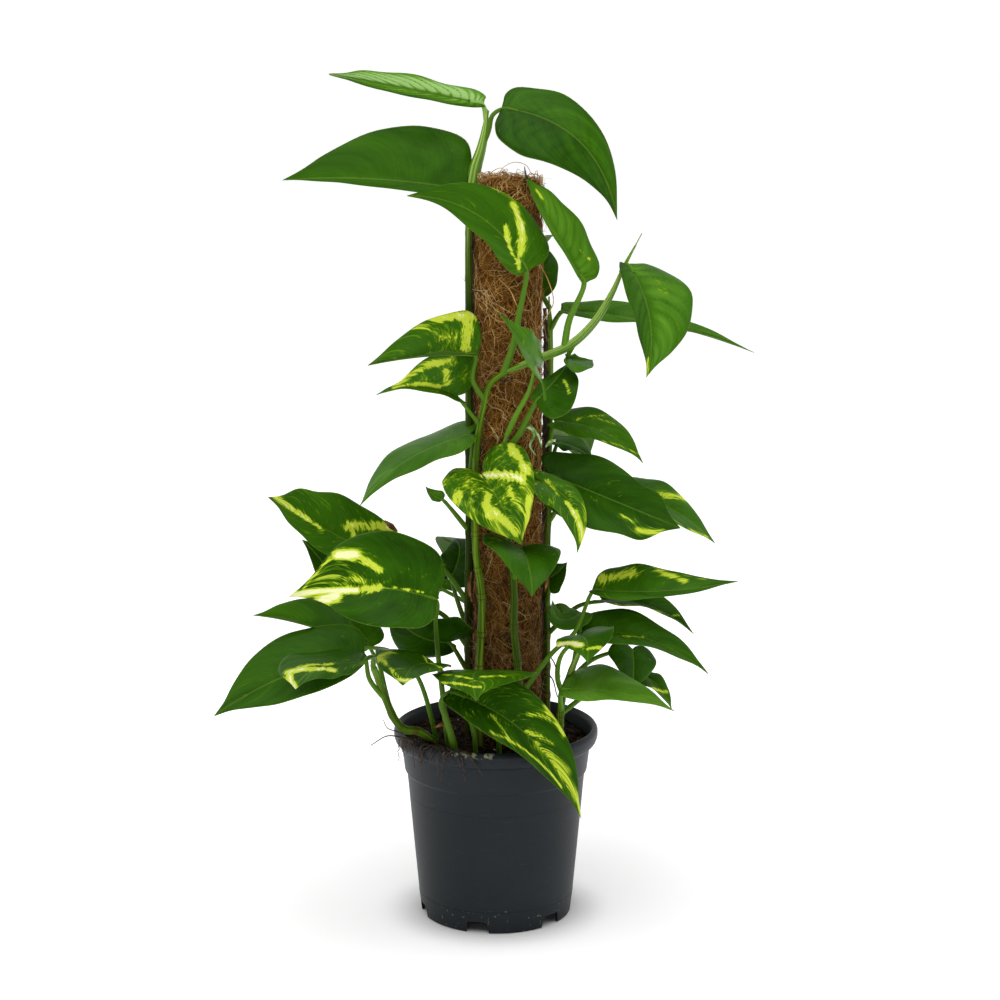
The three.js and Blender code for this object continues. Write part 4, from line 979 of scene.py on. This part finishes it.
             (0.7, 0.5, 0.9, 0.05, 1, 0.7), (0.4, 0, 0.1, 0.05, 0.7, 0.7)]),
        Leaf((-27, -50, 112), (-33, -61, 183), (60, -81, 96), (0.3, -0.8, 0.5), (26, 22), 0.2,
             via=[(-30, -54, 142), (-35, -57, 162), (-38, -58, 175)], arch=15, bend=-11, fold=24, lobe=0,
             belly=0.1, curl=2, stalk=2.8, pale=0.2, marks=[(0.5, -0.9, 0.6, -0.75, 2, 0.8),
             (0.45, -0.95, 0.5, -0.9, 2, 0.9), (0.4, -0.45, 0.5, -0.8, 2, 0.6),
             (0.25, 0.2, 0.4, 0.65, 1.5, 0.7), (0.55, 0.05, 0.75, -0.2, 4, 0.6),
             (0.65, -0.05, 0.9, -0.1, 3, 0.7), (0.45, -0.05, 0.6, -0.35, 1.5, 0.7),
             (0.3, 0.85, 0.8, 0.25, 1, 0.8), (0.9, -0.1, 1, 0, 1, 0.9)]),
        Leaf((-40, -18, 112), (-99, -17, 204), (-170, -56, 237), (0.1, 0, 1), (8, 31), 0.42,
             via=[(-46, -22, 150), (-58, -23, 186), (-76, -22, 202)], arch=4, fold=42, lobe=0),
        Leaf((-14, -48, 112), (-43, -56, 202), (-63, -112, 202), (0.1, -0.2, 1), (21, 33), 0.32,
             via=[(-16, -48, 150), (-28, -47, 180), (-39, -48, 195)], arch=4, bend=5, lobe=0.05, belly=0.1,
             tail=1.3, twist=-5, curl=2, pale=0.14, marks=[(0.65, 0.7, 0.35, 0.65, 3, 0.7),
             (0.6, 0.65, 0.95, -0.1, 2, 0.6), (0.9, 0.1, 0.9, -0.2, 2, 1.1),
             (-0.05, 0.4, 0.4, -0.85, 1, 0.9)]),
        Leaf((2, -44, 112), (-8, -48, 194), (-13, -118, 193), (0, -0.2, 1), (43, 31), 0.34,
             via=[(2, -45, 150), (-2, -50, 188)], arch=7, bend=5, fold=5, lobe=0, belly=0.1, curl=4,
             pale=0.2, marks=[(0.5, 0.7, 0.6, 0.05, 2, 0.7), (0.55, -0.15, 0.5, -0.5, 2.5, 0.7),
             (0.65, 0.75, 0.8, -0.1, 1.5, 0.8)])],
    "back_vine": [
        Leaf(478, (14, 46, 488), (30, 104, 470), (0.1, 0.5, 0.8), (26, 26), 0.3, arch=8, pale=0.1),
        Leaf(400, (-8, 58, 420), (-30, 122, 388), (-0.1, 0.5, 0.8), (28, 28), 0.3, via=[(0, 46, 414)],
             arch=10, pale=0.1),
        Leaf(325, (34, 60, 350), (70, 130, 306), (0.2, 0.6, 0.8), (30, 30), 0.3, via=[(22, 46, 345)],
             arch=12, pale=0.1),
        Leaf(240, (-8, 66, 260), (-36, 142, 222), (-0.2, 0.6, 0.8), (30, 30), 0.3, via=[(2, 50, 256)],
             arch=12, pale=0.1),
        Leaf(176, (8, 70, 206), (4, 142, 168), (0, 0.6, 0.8), (30, 30), 0.3, via=[(10, 54, 198)], arch=14,
             pale=0.1),
        Leaf(200, (-42, 58, 230), (-112, 112, 224), (-0.2, 0.4, 0.9), (26, 26), 0.3, via=[(-18, 46, 218)],
             arch=10, pale=0.1)],
}
PLAIN_RIBS, PLAIN_STEPS = 46, 8
FINE_RIBS, FINE_STEPS = 78, 14  # for blades with marks or deep pleats
DEEP_PLEAT = 0.8
VEIN_SPACING = 8
BLADE_THICKNESS = 0.46
STALK_SWELL = 0.35


def unit(vectors):
    return vectors / np.linalg.norm(vectors, axis=-1, keepdims=True)


def margin_at(leaf, t):
    """Where the blade's outline runs: along the midrib, and share of the half width."""
    lobe, belly, tail = leaf.lobe, leaf.belly, leaf.tail
    outline = np.array([
        (0, 0), (-0.82 * lobe, 0.2), (-lobe, 0.52), (0.05 - 0.45 * lobe + 0.4 * belly, 0.84),
        (0.2 - 0.25 * lobe + belly, 1), (0.36 + belly, 0.94), (0.56 + 0.8 * belly, 0.73),
        (0.75 + 0.4 * belly, 0.42 * tail), (0.89 + 0.1 * belly, 0.15 * tail), (1, 0)])
    place = t * (len(outline) - 1)
    i = np.minimum(place.astype(int), len(outline) - 2)
    w = (place - i)[:, None]
    p0, p1 = outline[np.maximum(i - 1, 0)], outline[i]
    p2, p3 = outline[i + 1], outline[np.minimum(i + 2, len(outline) - 1)]
    return cubic(p1, p2, (p2 - p0) / 2, (p3 - p1) / 2, w).T


def blade_point(leaf, along, across):
    """Where points of the flat blade lie once it is folded, arched, bent and waved."""
    base = np.array(leaf.base, float)
    reach = np.array(leaf.tip, float) - base
    axis = unit(reach)
    face = np.array(leaf.face, float)
    face = unit(face - axis * (face @ axis))
    side = np.cross(axis, face)
    held = np.clip(along, 0, 1)[:, None]
    rise = 4 * held * (1 - held)
    slope = 4 * (1 - 2 * held)
    tangent = unit(reach + face * leaf.arch * slope + side * leaf.bend * slope)
    centre = base + reach * held + face * leaf.arch * rise + side * leaf.bend * rise
    centre = centre + tangent * (along[:, None] - held) * leaf.length
    turn = np.radians(leaf.twist * held)
    sideways = side * np.cos(turn) + face * np.sin(turn)
    sideways = unit(sideways - tangent * np.sum(tangent * sideways, axis=1, keepdims=True))
    up = np.cross(sideways, tangent)
    half = np.where(across < 0, *leaf.halves)
    out = np.abs(across)
    slant = math.radians(leaf.fold)
    ripple = leaf.wave * np.sin(11 * along + 2 * np.sign(across)) * out ** 3
    lift = out * half * math.sin(slant) - leaf.curl * out ** 2 + ripple
    return centre + sideways * (across * half * math.cos(slant))[:, None] + up * lift[:, None]


def blade_normal(leaf, along, across):
    """The way the upper side looks at points of the flat blade."""
    step = 0.01
    ahead = blade_point(leaf, along + step, across) - blade_point(leaf, along - step, across)
    inner, outer = across - step, across + step
    inner = np.where((across > 0) & (inner < 0), 0, inner)
    outer = np.where((across < 0) & (outer > 0), 0, outer)
    sideways = blade_point(leaf, along, outer) - blade_point(leaf, along, inner)
    return unit(np.cross(sideways, ahead))


def blade_grid(ribs, steps):
    """The flat blade's points, and its faces as rows of point numbers."""
    t = np.arange(ribs + 1) / ribs
    shares = (np.arange(steps + 1) / steps) ** 1.25
    flat, numbers = [], {}
    for rib in range(ribs + 1):
        for hand in (-1, 1):
            for step in range(steps + 1):
                ends = rib in (0, ribs)
                if (step == 0 or ends) and (rib, 0) in numbers:
                    numbers[rib, hand * step] = numbers[rib, 0]
                    continue
                numbers[rib, hand * step] = len(flat)
                flat.append((t[rib], shares[step], hand))
    faces, rim = [], []
    for hand in (-1, 1):
        for rib in range(ribs):
            for step in range(steps):
                ring = [numbers[rib, hand * step], numbers[rib, hand * (step + 1)],
                        numbers[rib + 1, hand * (step + 1)], numbers[rib + 1, hand * step]]
                ring = list(dict.fromkeys(ring if hand > 0 else ring[::-1]))
                if len(ring) > 2:
                    faces.append(ring)
            edge = [numbers[rib, hand * steps], numbers[rib + 1, hand * steps]]
            rim.append(edge if hand > 0 else edge[::-1])
    return np.array(flat), faces, rim


plain_blade = blade_grid(PLAIN_RIBS, PLAIN_STEPS)
fine_blade = blade_grid(FINE_RIBS, FINE_STEPS)


def splashed(leaf, along, across):
    """How pale each point of the blade is: each mark is a streak from one flat place to another."""
    spots = np.stack([along * leaf.length, across * np.where(across < 0, *leaf.halves)], axis=1)
    pale = np.full(len(along), float(leaf.pale))
    for a0, c0, a1, c1, width, strength in leaf.marks:
        start = np.array([a0 * leaf.length, c0 * leaf.halves[c0 > 0]])
        run = np.array([a1 * leaf.length, c1 * leaf.halves[c1 > 0]]) - start
        share = np.clip((spots - start) @ run / max(run @ run, 1e-6), 0, 1)
        away = np.linalg.norm(spots - start - share[:, None] * run, axis=1)
        for blur, weight in ((1.35, 1), (2.6, 0.35)):
            pale = np.maximum(pale, weight * strength * np.exp(-(away / (blur * width)) ** 2))
    return pale


def stalk_route(stem, leaf):
    """The stalk's middle line, from inside its stem or the soil to the start of the midrib."""
    start = leaf.start
    if stem in STEMS:
        path = smooth_path(STEMS[stem][3], 1)
        start = path[np.argmax(path[:, 2] >= leaf.start)]
    along = np.array([0.01, 0.09])
    below = blade_normal(leaf, along, np.zeros(2)) * [[0.94], [0.56]]
    return smooth_path([start, *leaf.via, *(blade_point(leaf, along, np.zeros(2)) - below)], 1.5)


def make_leaf(name, stem, leaf, number):
    """A leaf's blade as a thin closed mesh, and its stalk's path as a chain of loose edges."""
    flat, blade_faces, blade_rim = fine_blade if leaf.marks or leaf.pleat > DEEP_PLEAT else plain_blade
    t, share, hand = flat.T
    edge_along, edge_across = margin_at(leaf, t)
    root = t ** 1.2
    along = root + (edge_along - root) * share
    across = hand * edge_across * share
    middle = blade_point(leaf, along, across)
    normal = blade_normal(leaf, along, across)
    half = np.where(across < 0, *leaf.halves)
    apart = np.abs(across) * half

    veins = max(4, round(leaf.length / VEIN_SPACING))
    sweep = t - leaf.sweep * share ** 1.3
    pillow = np.abs(np.sin(np.pi * veins * sweep)) ** 0.6 * np.clip(share * 4, 0, 1) * (1 - share ** 3)
    furrow = np.exp(-(apart / 0.9) ** 2) * np.clip(1 - along, 0, 1) ** 0.7
    wander = np.array([noise.noise(Vector(p) / 26 + Vector((0, 0, 7.1 * number))) for p in middle])
    gentle = 2.2 * wander * share ** 1.4 * np.sin(np.pi * np.clip(t, 0, 1)) ** 0.5
    thin = BLADE_THICKNESS / 2 * (1 - 0.6 * share ** 5)
    level = gentle + leaf.pleat * (pillow - 1)
    top = middle + normal * (level - 0.25 * furrow + thin)[:, None]
    low = middle + normal * (level - 0.95 * furrow - thin)[:, None]

    route = stalk_route(stem, leaf)
    count = len(top)
    faces = [*blade_faces, *[[i + count for i in reversed(face)] for face in blade_faces]]
    faces += [[a, a + count, b + count, b] for a, b in blade_rim]
    chain = [(2 * count + i, 2 * count + i + 1) for i in range(len(route) - 1)]
    mesh = bpy.data.meshes.new(name)
    mesh.from_pydata(in_place(np.concatenate([top, low, route])).tolist(), chain, faces)
    mesh.polygons.foreach_set("use_smooth", [True] * len(faces))

    def everywhere(upper, lower, stalk=0.0):
        """One number for each point of the blade's upper side, its lower side and the stalk."""
        shape = ((upper, count), (lower, count), (stalk, len(route)))
        return np.concatenate([np.broadcast_to(values, size) for values, size in shape])

    run = np.linspace(0, 1, len(route))
    thick = (leaf.stalk + STALK_SWELL) * (1 - 0.45 * run ** 1.5)
    thick = thick * (0.96 + 0.12 * np.exp(-((run - 0.86) / 0.05) ** 2))
    pale = splashed(leaf, along, across)
    # Painted light and shade on either half, and painted glints on the quilted crests with painted shade in
    # the furrows.
    painted_half_shade = np.where(across < 0, *leaf.painted_half_shade)
    tones = leaf.tone + painted_half_shade * np.clip(apart / 1.5, 0, 1) + leaf.painted_pleat_glint * (pillow - 0.6)
    numbers = {
        "thickness": everywhere(0.0, 0.0, thick * MM), "mark": everywhere(pale, pale),
        "tone": everywhere(tones, tones, leaf.tone), "edge": everywhere(share, share),
        "under": everywhere(0.0, 1.0)}
    for label, values in numbers.items():
        carry(mesh, label, values)
    breadth = across * half / 10
    spot = [everywhere(sweep * veins, sweep * veins), everywhere(breadth, breadth),
            np.full(len(mesh.vertices), 3.7 * number)]
    spot = np.stack(spot, axis=1).astype(np.float32).ravel()
    mesh.attributes.new("vein_place", "FLOAT_VECTOR", "POINT").data.foreach_set("vector", spot)
    return added(name, mesh)


def leaf_tree():
    """Keeps a blade as it is and grows the stalk along the mesh's loose edges."""
    given = geometry_tree("stalk on a blade", {"Sides": "Int", "Material": "Material"})
    wire = given["Geometry"]
    faces = wire.make("GeometryNodeInputMeshEdgeNeighbors")
    loose = wire.make("FunctionNodeCompare", {"data_type": "INT", "operation": "LESS_THAN"},
                      {0: faces, 1: 1})
    chain = wire.make("GeometryNodeMeshToCurve", None, {"Mesh": wire, "Selection": loose})
    bare = wire.make("GeometryNodeDeleteGeometry", {"domain": "EDGE"},
                     {"Geometry": wire, "Selection": loose})
    joined = wire.make("GeometryNodeJoinGeometry", None, {0: bare})
    joined.tree.links.new(tube(chain, given["Sides"], 0.0).socket, joined.socket.node.inputs[0])
    return end_tree(joined, given["Material"])


def leaf_pattern(place):
    spot = place.make("ShaderNodeAttribute", {"attribute_name": "vein_place"}, None, "Vector")
    run, breadth = spot.parts()[:2]
    under = place.attribute("under")
    tone = place.attribute("tone")
    mark = place.attribute("mark")
    edge = place.attribute("edge")
    streak = spot.noise(1.3, detail=5, stretch=(1.4, 0.8, 1), distortion=0.8) - 0.5
    fleck = spot.noise(5, detail=3, stretch=(1.7, 0.7, 1)) - 0.5
    splash = mark + streak * 1.3 + fleck * 0.9
    lime = splash.rise(0.28, 0.5)
    yellow = splash.rise(0.48, 0.66)
    cream = splash.rise(0.9, 1.15)
    cloud = spot.noise(0.5, detail=3) - 0.5
    lines = spot.noise(1.0, detail=3, stretch=(6, 0.3, 1)) - 0.5
    shade = tone + 0.05 + cloud * 0.5 + lines * 0.15 + fleck * 0.1
    green = shade.colours((0, (14, 36, 2)), (0.25, (38, 78, 3)), (0.5, (58, 106, 8)),
                          (0.75, (92, 142, 34)), (1, (150, 190, 110)))
    rib = 1 - breadth.of("ABSOLUTE").rise(0.03, 0.09)
    vein = (run.of("FRACT") - 0.5).of("ABSOLUTE").rise(0.44, 0.5)
    lit = green.mix(vein * 0.06, (110, 150, 50)).mix(rib * 0.3, (120, 156, 50))
    lit = lit.mix(lime * 0.7, (112, 152, 14)).mix(yellow, (200, 218, 60))
    lit = lit.mix(cream, (244, 246, 184)).mix(edge.rise(0.97, 1) * 0.3, (140, 168, 60))
    below = shade.colours((0, (48, 78, 20)), (0.6, (80, 116, 42)), (1, (140, 172, 80)))
    below = below.mix(yellow * 0.6, (190, 204, 96)).mix(rib * 0.5, (150, 176, 90))
    fine = spot.noise(9, detail=3)
    return {"Base Color": lit.mix(under, below), "Roughness": 0.3 + fine * 0.1 + under * 0.25,
            "relief": fine * 0.5 - vein * (0.6 - under) - rib * 0.5 + streak * 0.4, "depth": 0.25 * MM}


leaf_skin = skin("leaf_skin", leaf_pattern, {
    "Coat Roughness": 0.2, "Coat Weight": 0.03, "IOR": 1.3, "Specular IOR Level": 0.12})
stalk_grower = leaf_tree()
leaves = [(stem, i + 1, leaf) for stem, group in LEAVES.items() for i, leaf in enumerate(group)]
for number, (stem, order, leaf) in enumerate(leaves):
    leaf_name = f"{stem}_leaf_{order}"
    piece = make_leaf("fine_" + leaf_name, stem, leaf, number)
    grown(piece, stalk_grower, {"Sides": 14, "Material": leaf_skin})
    dress(piece, leaf_skin, "leaf", leaf_name)

# ---------------------------------------------------------------------------------------------
# Remnants: what a climbing plant gathers on its pole. Brown air roots grip the fibre at the
# joints, papery sheaths of old leaves dry to tan, green sheaths wrap the young stem tips, and
# straw-coloured fibres stand off the pole and curl out of its frayed top.

# Each strand: points of its middle line, and its radius at even steps from end to end.
GREEN_SHEATHS = [
    ([(-16, -10, 534), (-14, -9, 545), (-10, -8, 558), (-7, -7, 572), (-6, -6, 585)],
     [4.6, 4.2, 3.2, 2.5, 0.6]),
    ([(8, -33, 406), (30, -34, 415), (52, -30, 424), (69, -27, 440), (81, -25, 460), (89, -25, 478),
      (97, -26, 493)], [1.8, 2.7, 2.9, 2.7, 2.2, 1.3, 0.4]),
    ([(-41, -60, 250), (-42, -62, 258), (-41, -63, 267)], [1.6, 1.1, 0.3]),
]
PALE_CURLS = [
    ([(18, -29, 360), (22, -34, 367), (27, -33, 362), (24, -32, 353), (28, -31, 346)],
     [0.6, 1, 0.9, 0.7, 0.3]),
    ([(24, -31, 368), (29, -34, 362), (32, -33, 352)], [0.4, 0.9, 0.3]),
    ([(35, -29, 352), (38, -32, 356), (42, -30, 357)], [0.6, 1.2, 0.5]),
    ([(21, -31, 372), (28, -34, 384), (34, -30, 394)], [0.5, 1.1, 0.4]),
]
DRY_SHEATHS = [
    ([(25, -29, 397), (31, -32, 388), (36, -30, 377)], [0.8, 2, 0.6]),
    ([(-17, -31, 262), (-19, -32, 252), (-17, -31, 240)], [0.4, 1.4, 0.4]),
    ([(33, -28, 268), (36, -30, 258), (35, -28, 247)], [0.5, 1.6, 0.4]),
    ([(-30, -45, 152), (-36, -50, 156), (-44, -50, 153)], [0.5, 1.5, 0.4]),
    ([(-79, -20, 297), (-74, -21, 293), (-70, -20, 289)], [0.5, 1.7, 0.6]),
]
STRAWS = [
    ([(2, -14, 534), (4, -16, 544), (12, -17, 549), (21, -15, 547), (26, -12, 538)],
     [0.3, 0.3, 0.25, 0.25, 0.2]),
    ([(-6, -12, 534), (-4, -14, 541), (4, -15, 545), (10, -13, 537)], [0.3, 0.3, 0.25, 0.2]),
    ([(30, -24, 481), (37, -28, 467), (40, -28, 453), (34, -29, 442), (28, -27, 434)],
     [0.3, 0.35, 0.35, 0.3, 0.2]),
    ([(-12, -24, 452), (-6, -30, 446), (4, -29, 440), (12, -25, 441)], [0.25, 0.3, 0.3, 0.2]),
    ([(2, -27, 470), (10, -31, 462), (16, -30, 450), (24, -24, 447)], [0.2, 0.3, 0.3, 0.2]),
    ([(20, -24, 425), (28, -30, 414), (33, -28, 402)], [0.2, 0.35, 0.2]),
]
STRAY_ROOTS = [
    ([(-58, -40, 138), (-62, -58, 147), (-76, -56, 149), (-89, -50, 140)], [0.7, 0.6, 0.45, 0.3]),
    ([(-60, -44, 138), (-66, -54, 150), (-77, -50, 153), (-80, -46, 158)], [0.6, 0.5, 0.4, 0.25]),
    ([(38, -10, 196), (42, -9, 190), (44, -8, 184), (47, -5, 178)], [0.5, 0.5, 0.45, 0.3]),
    ([(30, -28, 192), (40, -30, 184), (44, -26, 170), (50, -24, 158)], [0.5, 0.5, 0.4, 0.3]),
    ([(21.5, -24.5, 538), (20.5, -24.5, 542), (19.8, -24.5, 547)], [1, 0.8, 0.2]),
]
AIR_ROOTS_ABOVE = 145
AIR_ROOTS_BELOW = 520
MAT_BOTTOM = 128
MAT_TOPS = {"top_vine": 520, "right_vine": 446}
TUFT_FIBRES = 230
FIBRE_STEP = 1.2


def drawn(strands):
    """Paths for the strands of a list."""
    paths = []
    for points, radii in strands:
        path = smooth_path(points, FIBRE_STEP)
        places = np.linspace(0, 1, len(radii))
        paths.append((path, np.interp(np.linspace(0, 1, len(path)), places, radii) * MM))
    return paths


def air_root_paths():
    """Short roots that leave the joints of the climbing stems and hug the pole."""
    dice = np.random.default_rng(77)
    paths = []
    for name in ("front_vine", "middle_vine", "top_vine", "right_vine", "back_vine"):
        stem = stem_path(name)[0]
        for joint in [z for z in JOINTS[name] if AIR_ROOTS_ABOVE < z < AIR_ROOTS_BELOW]:
            start = stem[np.argmax(stem[:, 2] >= joint - 1.5)]
            reach = math.hypot(start[0] - POLE_X, start[1])
            if reach > 36:
                continue
            turn = math.atan2(start[1], start[0] - POLE_X)
            for i in range(dice.integers(1, 4)):
                share = np.linspace(0, 1, 6)
                swing = turn + dice.choice((-1, 1)) * dice.uniform(0.25, 0.8) * share
                radius = np.interp(share, [0, 0.35, 1], [reach, POLE_RADIUS + 1.8, POLE_RADIUS + 0.6])
                z = start[2] - dice.uniform(0, 14) - dice.uniform(-3, 24) * share + dice.normal(0, 0.7, 6)
                points = np.stack([POLE_X + radius * np.cos(swing), radius * np.sin(swing), z], axis=1)
                path = smooth_path(points, 1.6)
                paths.append((path, np.linspace(0.7, 0.25, len(path)) * dice.uniform(0.6, 1.2) * MM))
    return paths


def root_and_shade_mat_paths():
    """Lumpy dark mats, drawn as rootlets, that fill the gap between the pole and the stems at its sides:
    painted shade for that gap.
    """
    paths = []
    for name, top in MAT_TOPS.items():
        stem = stem_path(name)[0]
        stem = stem[(stem[:, 2] > MAT_BOTTOM) & (stem[:, 2] < top)][::2]
        out = stem[:, :2] - (POLE_X, 0)
        reach = np.linalg.norm(out, axis=1, keepdims=True)
        for inset, seed in ((3.3, 0), (4.4, 5)):
            path = stem.copy()
            path[:, :2] = (POLE_X, 0) + out / reach * np.maximum(reach - inset, POLE_RADIUS)
            lumps = [noise.noise(Vector((z / 3.1, inset, seed))) for z in path[:, 2]]
            paths.append((path, (1.05 + 0.9 * np.array(lumps)) * MM))
    return paths


def tuft_paths():
    """Curly fibres that rise out of the frayed top of the sleeve and fall back on it."""
    dice = np.random.default_rng(31)
    paths = []
    for i in range(TUFT_FIBRES):
        turn = dice.uniform(0, 2 * np.pi)
        radius = POLE_RADIUS * dice.uniform(0.3, 1.02)
        place = np.array([POLE_X + radius * math.cos(turn), radius * math.sin(turn), POLE_TOP - 4])
        heading = dice.uniform(0, 2 * np.pi)
        climb = dice.uniform(0.6, 1.5)
        points = []
        for j in range(8):
            points.append(place)
            run = 2.6 * np.array([math.cos(heading) * math.cos(climb), math.sin(heading) * math.cos(climb),
                                  math.sin(climb)])
            place = place + run
            off = place[:2] - (POLE_X, 0)
            if np.linalg.norm(off) > POLE_RADIUS + 1.5:
                place[:2] = (POLE_X, 0) + off / np.linalg.norm(off) * (POLE_RADIUS + 1.5)
            heading += dice.normal(0, 0.8)
            climb -= dice.uniform(0.15, 0.6)
        path = smooth_path(points, FIBRE_STEP)
        paths.append((path, np.full(len(path), dice.uniform(0.14, 0.3)) * MM))
    return paths


def sheath_pattern(place):
    stripe = round_place(place, 8).noise(3, stretch=(1, 1, 0.2))
    green = stripe.colours((0.36, (46, 88, 8)), (0.5, (92, 136, 30)), (0.66, (170, 198, 100)))
    return {"Base Color": green, "Roughness": 0.4 + stripe * 0.1, "relief": stripe, "depth": 0.4 * MM}


sheath_skin = skin("green_sheath", sheath_pattern)
curl_skin = skin("pale_curl", mottled(
    160, (0.35, (80, 132, 40)), (0.5, (150, 190, 104)), (0.65, (220, 226, 190)),
    rough=(0.5, 0.1), depth=0.2))
paper_skin = skin("dry_sheath", mottled(
    160, (0.3, (60, 34, 14)), (0.5, (110, 72, 34)), (0.7, (164, 124, 74)),
    detail=4, rough=(0.65, 0.1), depth=0.3))
straw_skin = skin("straw", mottled(
    90, (0.3, (150, 102, 48)), (0.55, (206, 162, 98)), (0.75, (238, 212, 160)),
    rough=(0.55, 0.1), depth=0.1))
for label, strands, cover, sides, ridges, slot in (
        ("green_sheaths", drawn(GREEN_SHEATHS), sheath_skin, 20, 0.1, "stem"),
        ("pale_curls", drawn(PALE_CURLS), curl_skin, 8, 0.3, "stem"),
        ("dry_sheaths", drawn(DRY_SHEATHS), paper_skin, 8, 0.3, "stem"),
        ("straw_fibres", drawn(STRAWS), straw_skin, 5, 0.0, "coir"),
        ("stray_roots", drawn(STRAY_ROOTS), root_skin, 6, 0.0, "soil"),
        ("air_roots_and_shade_mats", air_root_paths() + root_and_shade_mat_paths(), root_skin, 6, 0.0, "stem"),
        ("top_tuft", tuft_paths(), straw_skin, 4, 0.0, "coir")):
    remnant = grown(chained(label, strands), along_line, {
        "Sides": sides, "Ridges": ridges, "Material": cover})
    dress(remnant, cover, slot)

# ---------------------------------------------------------------------------------------------
# Studio: a white floor that runs out of sight and glows with painted light, held dark round the pot's foot
# as a painted contact shadow, soft white light all round, brightest near the horizon, and two large
# softboxes. The camera stands a little higher than the plant's top.
FLOOR_RADIUS = 30
FLOOR_SIDES = 96
FLOOR_DROP = 0.0002
FLOOR_GLOW_REACH = 0.5
NEAR_GLOW = 0.34
FAR_GLOW = 0.62
CAMERA_PLACE = (3.0, -1660, 645)
CAMERA_PITCH = 11.48
CAMERA_LENS = 85


def studio_pattern(place):
    grain = place.noise(3)
    white = grain.colours((0.3, (236, 236, 236)), (0.7, (240, 240, 240)))
    from_pot = place.make("ShaderNodeVectorMath", {"operation": "SUBTRACT"},
                          {0: place, 1: (POT_X, POT_Y, 0)})
    away = from_pot.make("ShaderNodeVectorMath", {"operation": "LENGTH"}, {"Vector": from_pot}, "Value")
    # The floor's glow is painted light: none within 46 mm of the pot's middle, the near glow by 90 mm and
    # the far glow from half a metre out, so the floor is painted darker round the pot as a contact shadow.
    glow = away.rise(0.046, 0.09) * NEAR_GLOW + away.rise(0.12, FLOOR_GLOW_REACH) * (FAR_GLOW - NEAR_GLOW)
    return {"Base Color": white, "Roughness": 0.9 + grain * 0.05,
            "Emission Color": glow.joined(0, 0, 0).mix(glow, (255, 255, 255)),
            "relief": grain, "depth": 0.01 * MM}


turns = np.linspace(0, 2 * np.pi, FLOOR_SIDES, endpoint=False)
floor_points = [(FLOOR_RADIUS * math.cos(a), FLOOR_RADIUS * math.sin(a), -FLOOR_DROP) for a in turns]
floor = new_piece("studio_floor", floor_points, [tuple(range(FLOOR_SIDES))])
floor.data.materials.append(skin("floor_paper", studio_pattern, {
    "Emission Strength": 1.0, "Specular IOR Level": 0.05}))


def softbox(name, place, target, size, power):
    """A square area light that looks at a point."""
    lamp = bpy.data.lights.new(name, "AREA")
    lamp.size = size
    lamp.energy = power
    light = added(name, lamp)
    light.location = place
    light.rotation_euler = (Vector(target) - Vector(place)).to_track_quat("-Z", "Y").to_euler()
    return light


key = softbox("key_light", (-0.35, -0.8, 2.5), (0, 0, 0.3), 2.8, 50)
fill = softbox("fill_light", (1.5, -0.4, 1.2), (0, 0, 0.3), 1.4, 5)

world = bpy.data.worlds.new("studio")
bpy.context.scene.world = world
world.use_nodes = True
world.node_tree.nodes.clear()
sky = Wire(world.node_tree).make("ShaderNodeTexCoord", None, None, "Generated")
depth, height = sky.parts()[1:]
behind = depth.rise(-0.6, 0.5)
dome = (0.2 + behind * 0.8) * (1 - height.rise(0.15, 0.9) * 0.4)
glow = dome.math("MAXIMUM", dome, 1.05 - height.rise(0.05, 0.3))
back = sky.make("ShaderNodeBackground", None, {"Color": (1, 1, 1, 1), "Strength": glow})
sky.make("ShaderNodeOutputWorld", None, {"Surface": back})

camera = added("camera", bpy.data.cameras.new("camera"))
camera.data.lens = CAMERA_LENS
camera.data.clip_end = 100
camera.location = in_place(CAMERA_PLACE)
camera.rotation_euler = (math.radians(90 - CAMERA_PITCH), 0, 0)
bpy.context.scene.camera = camera
bpy.context.scene.view_settings.view_transform = "Standard"
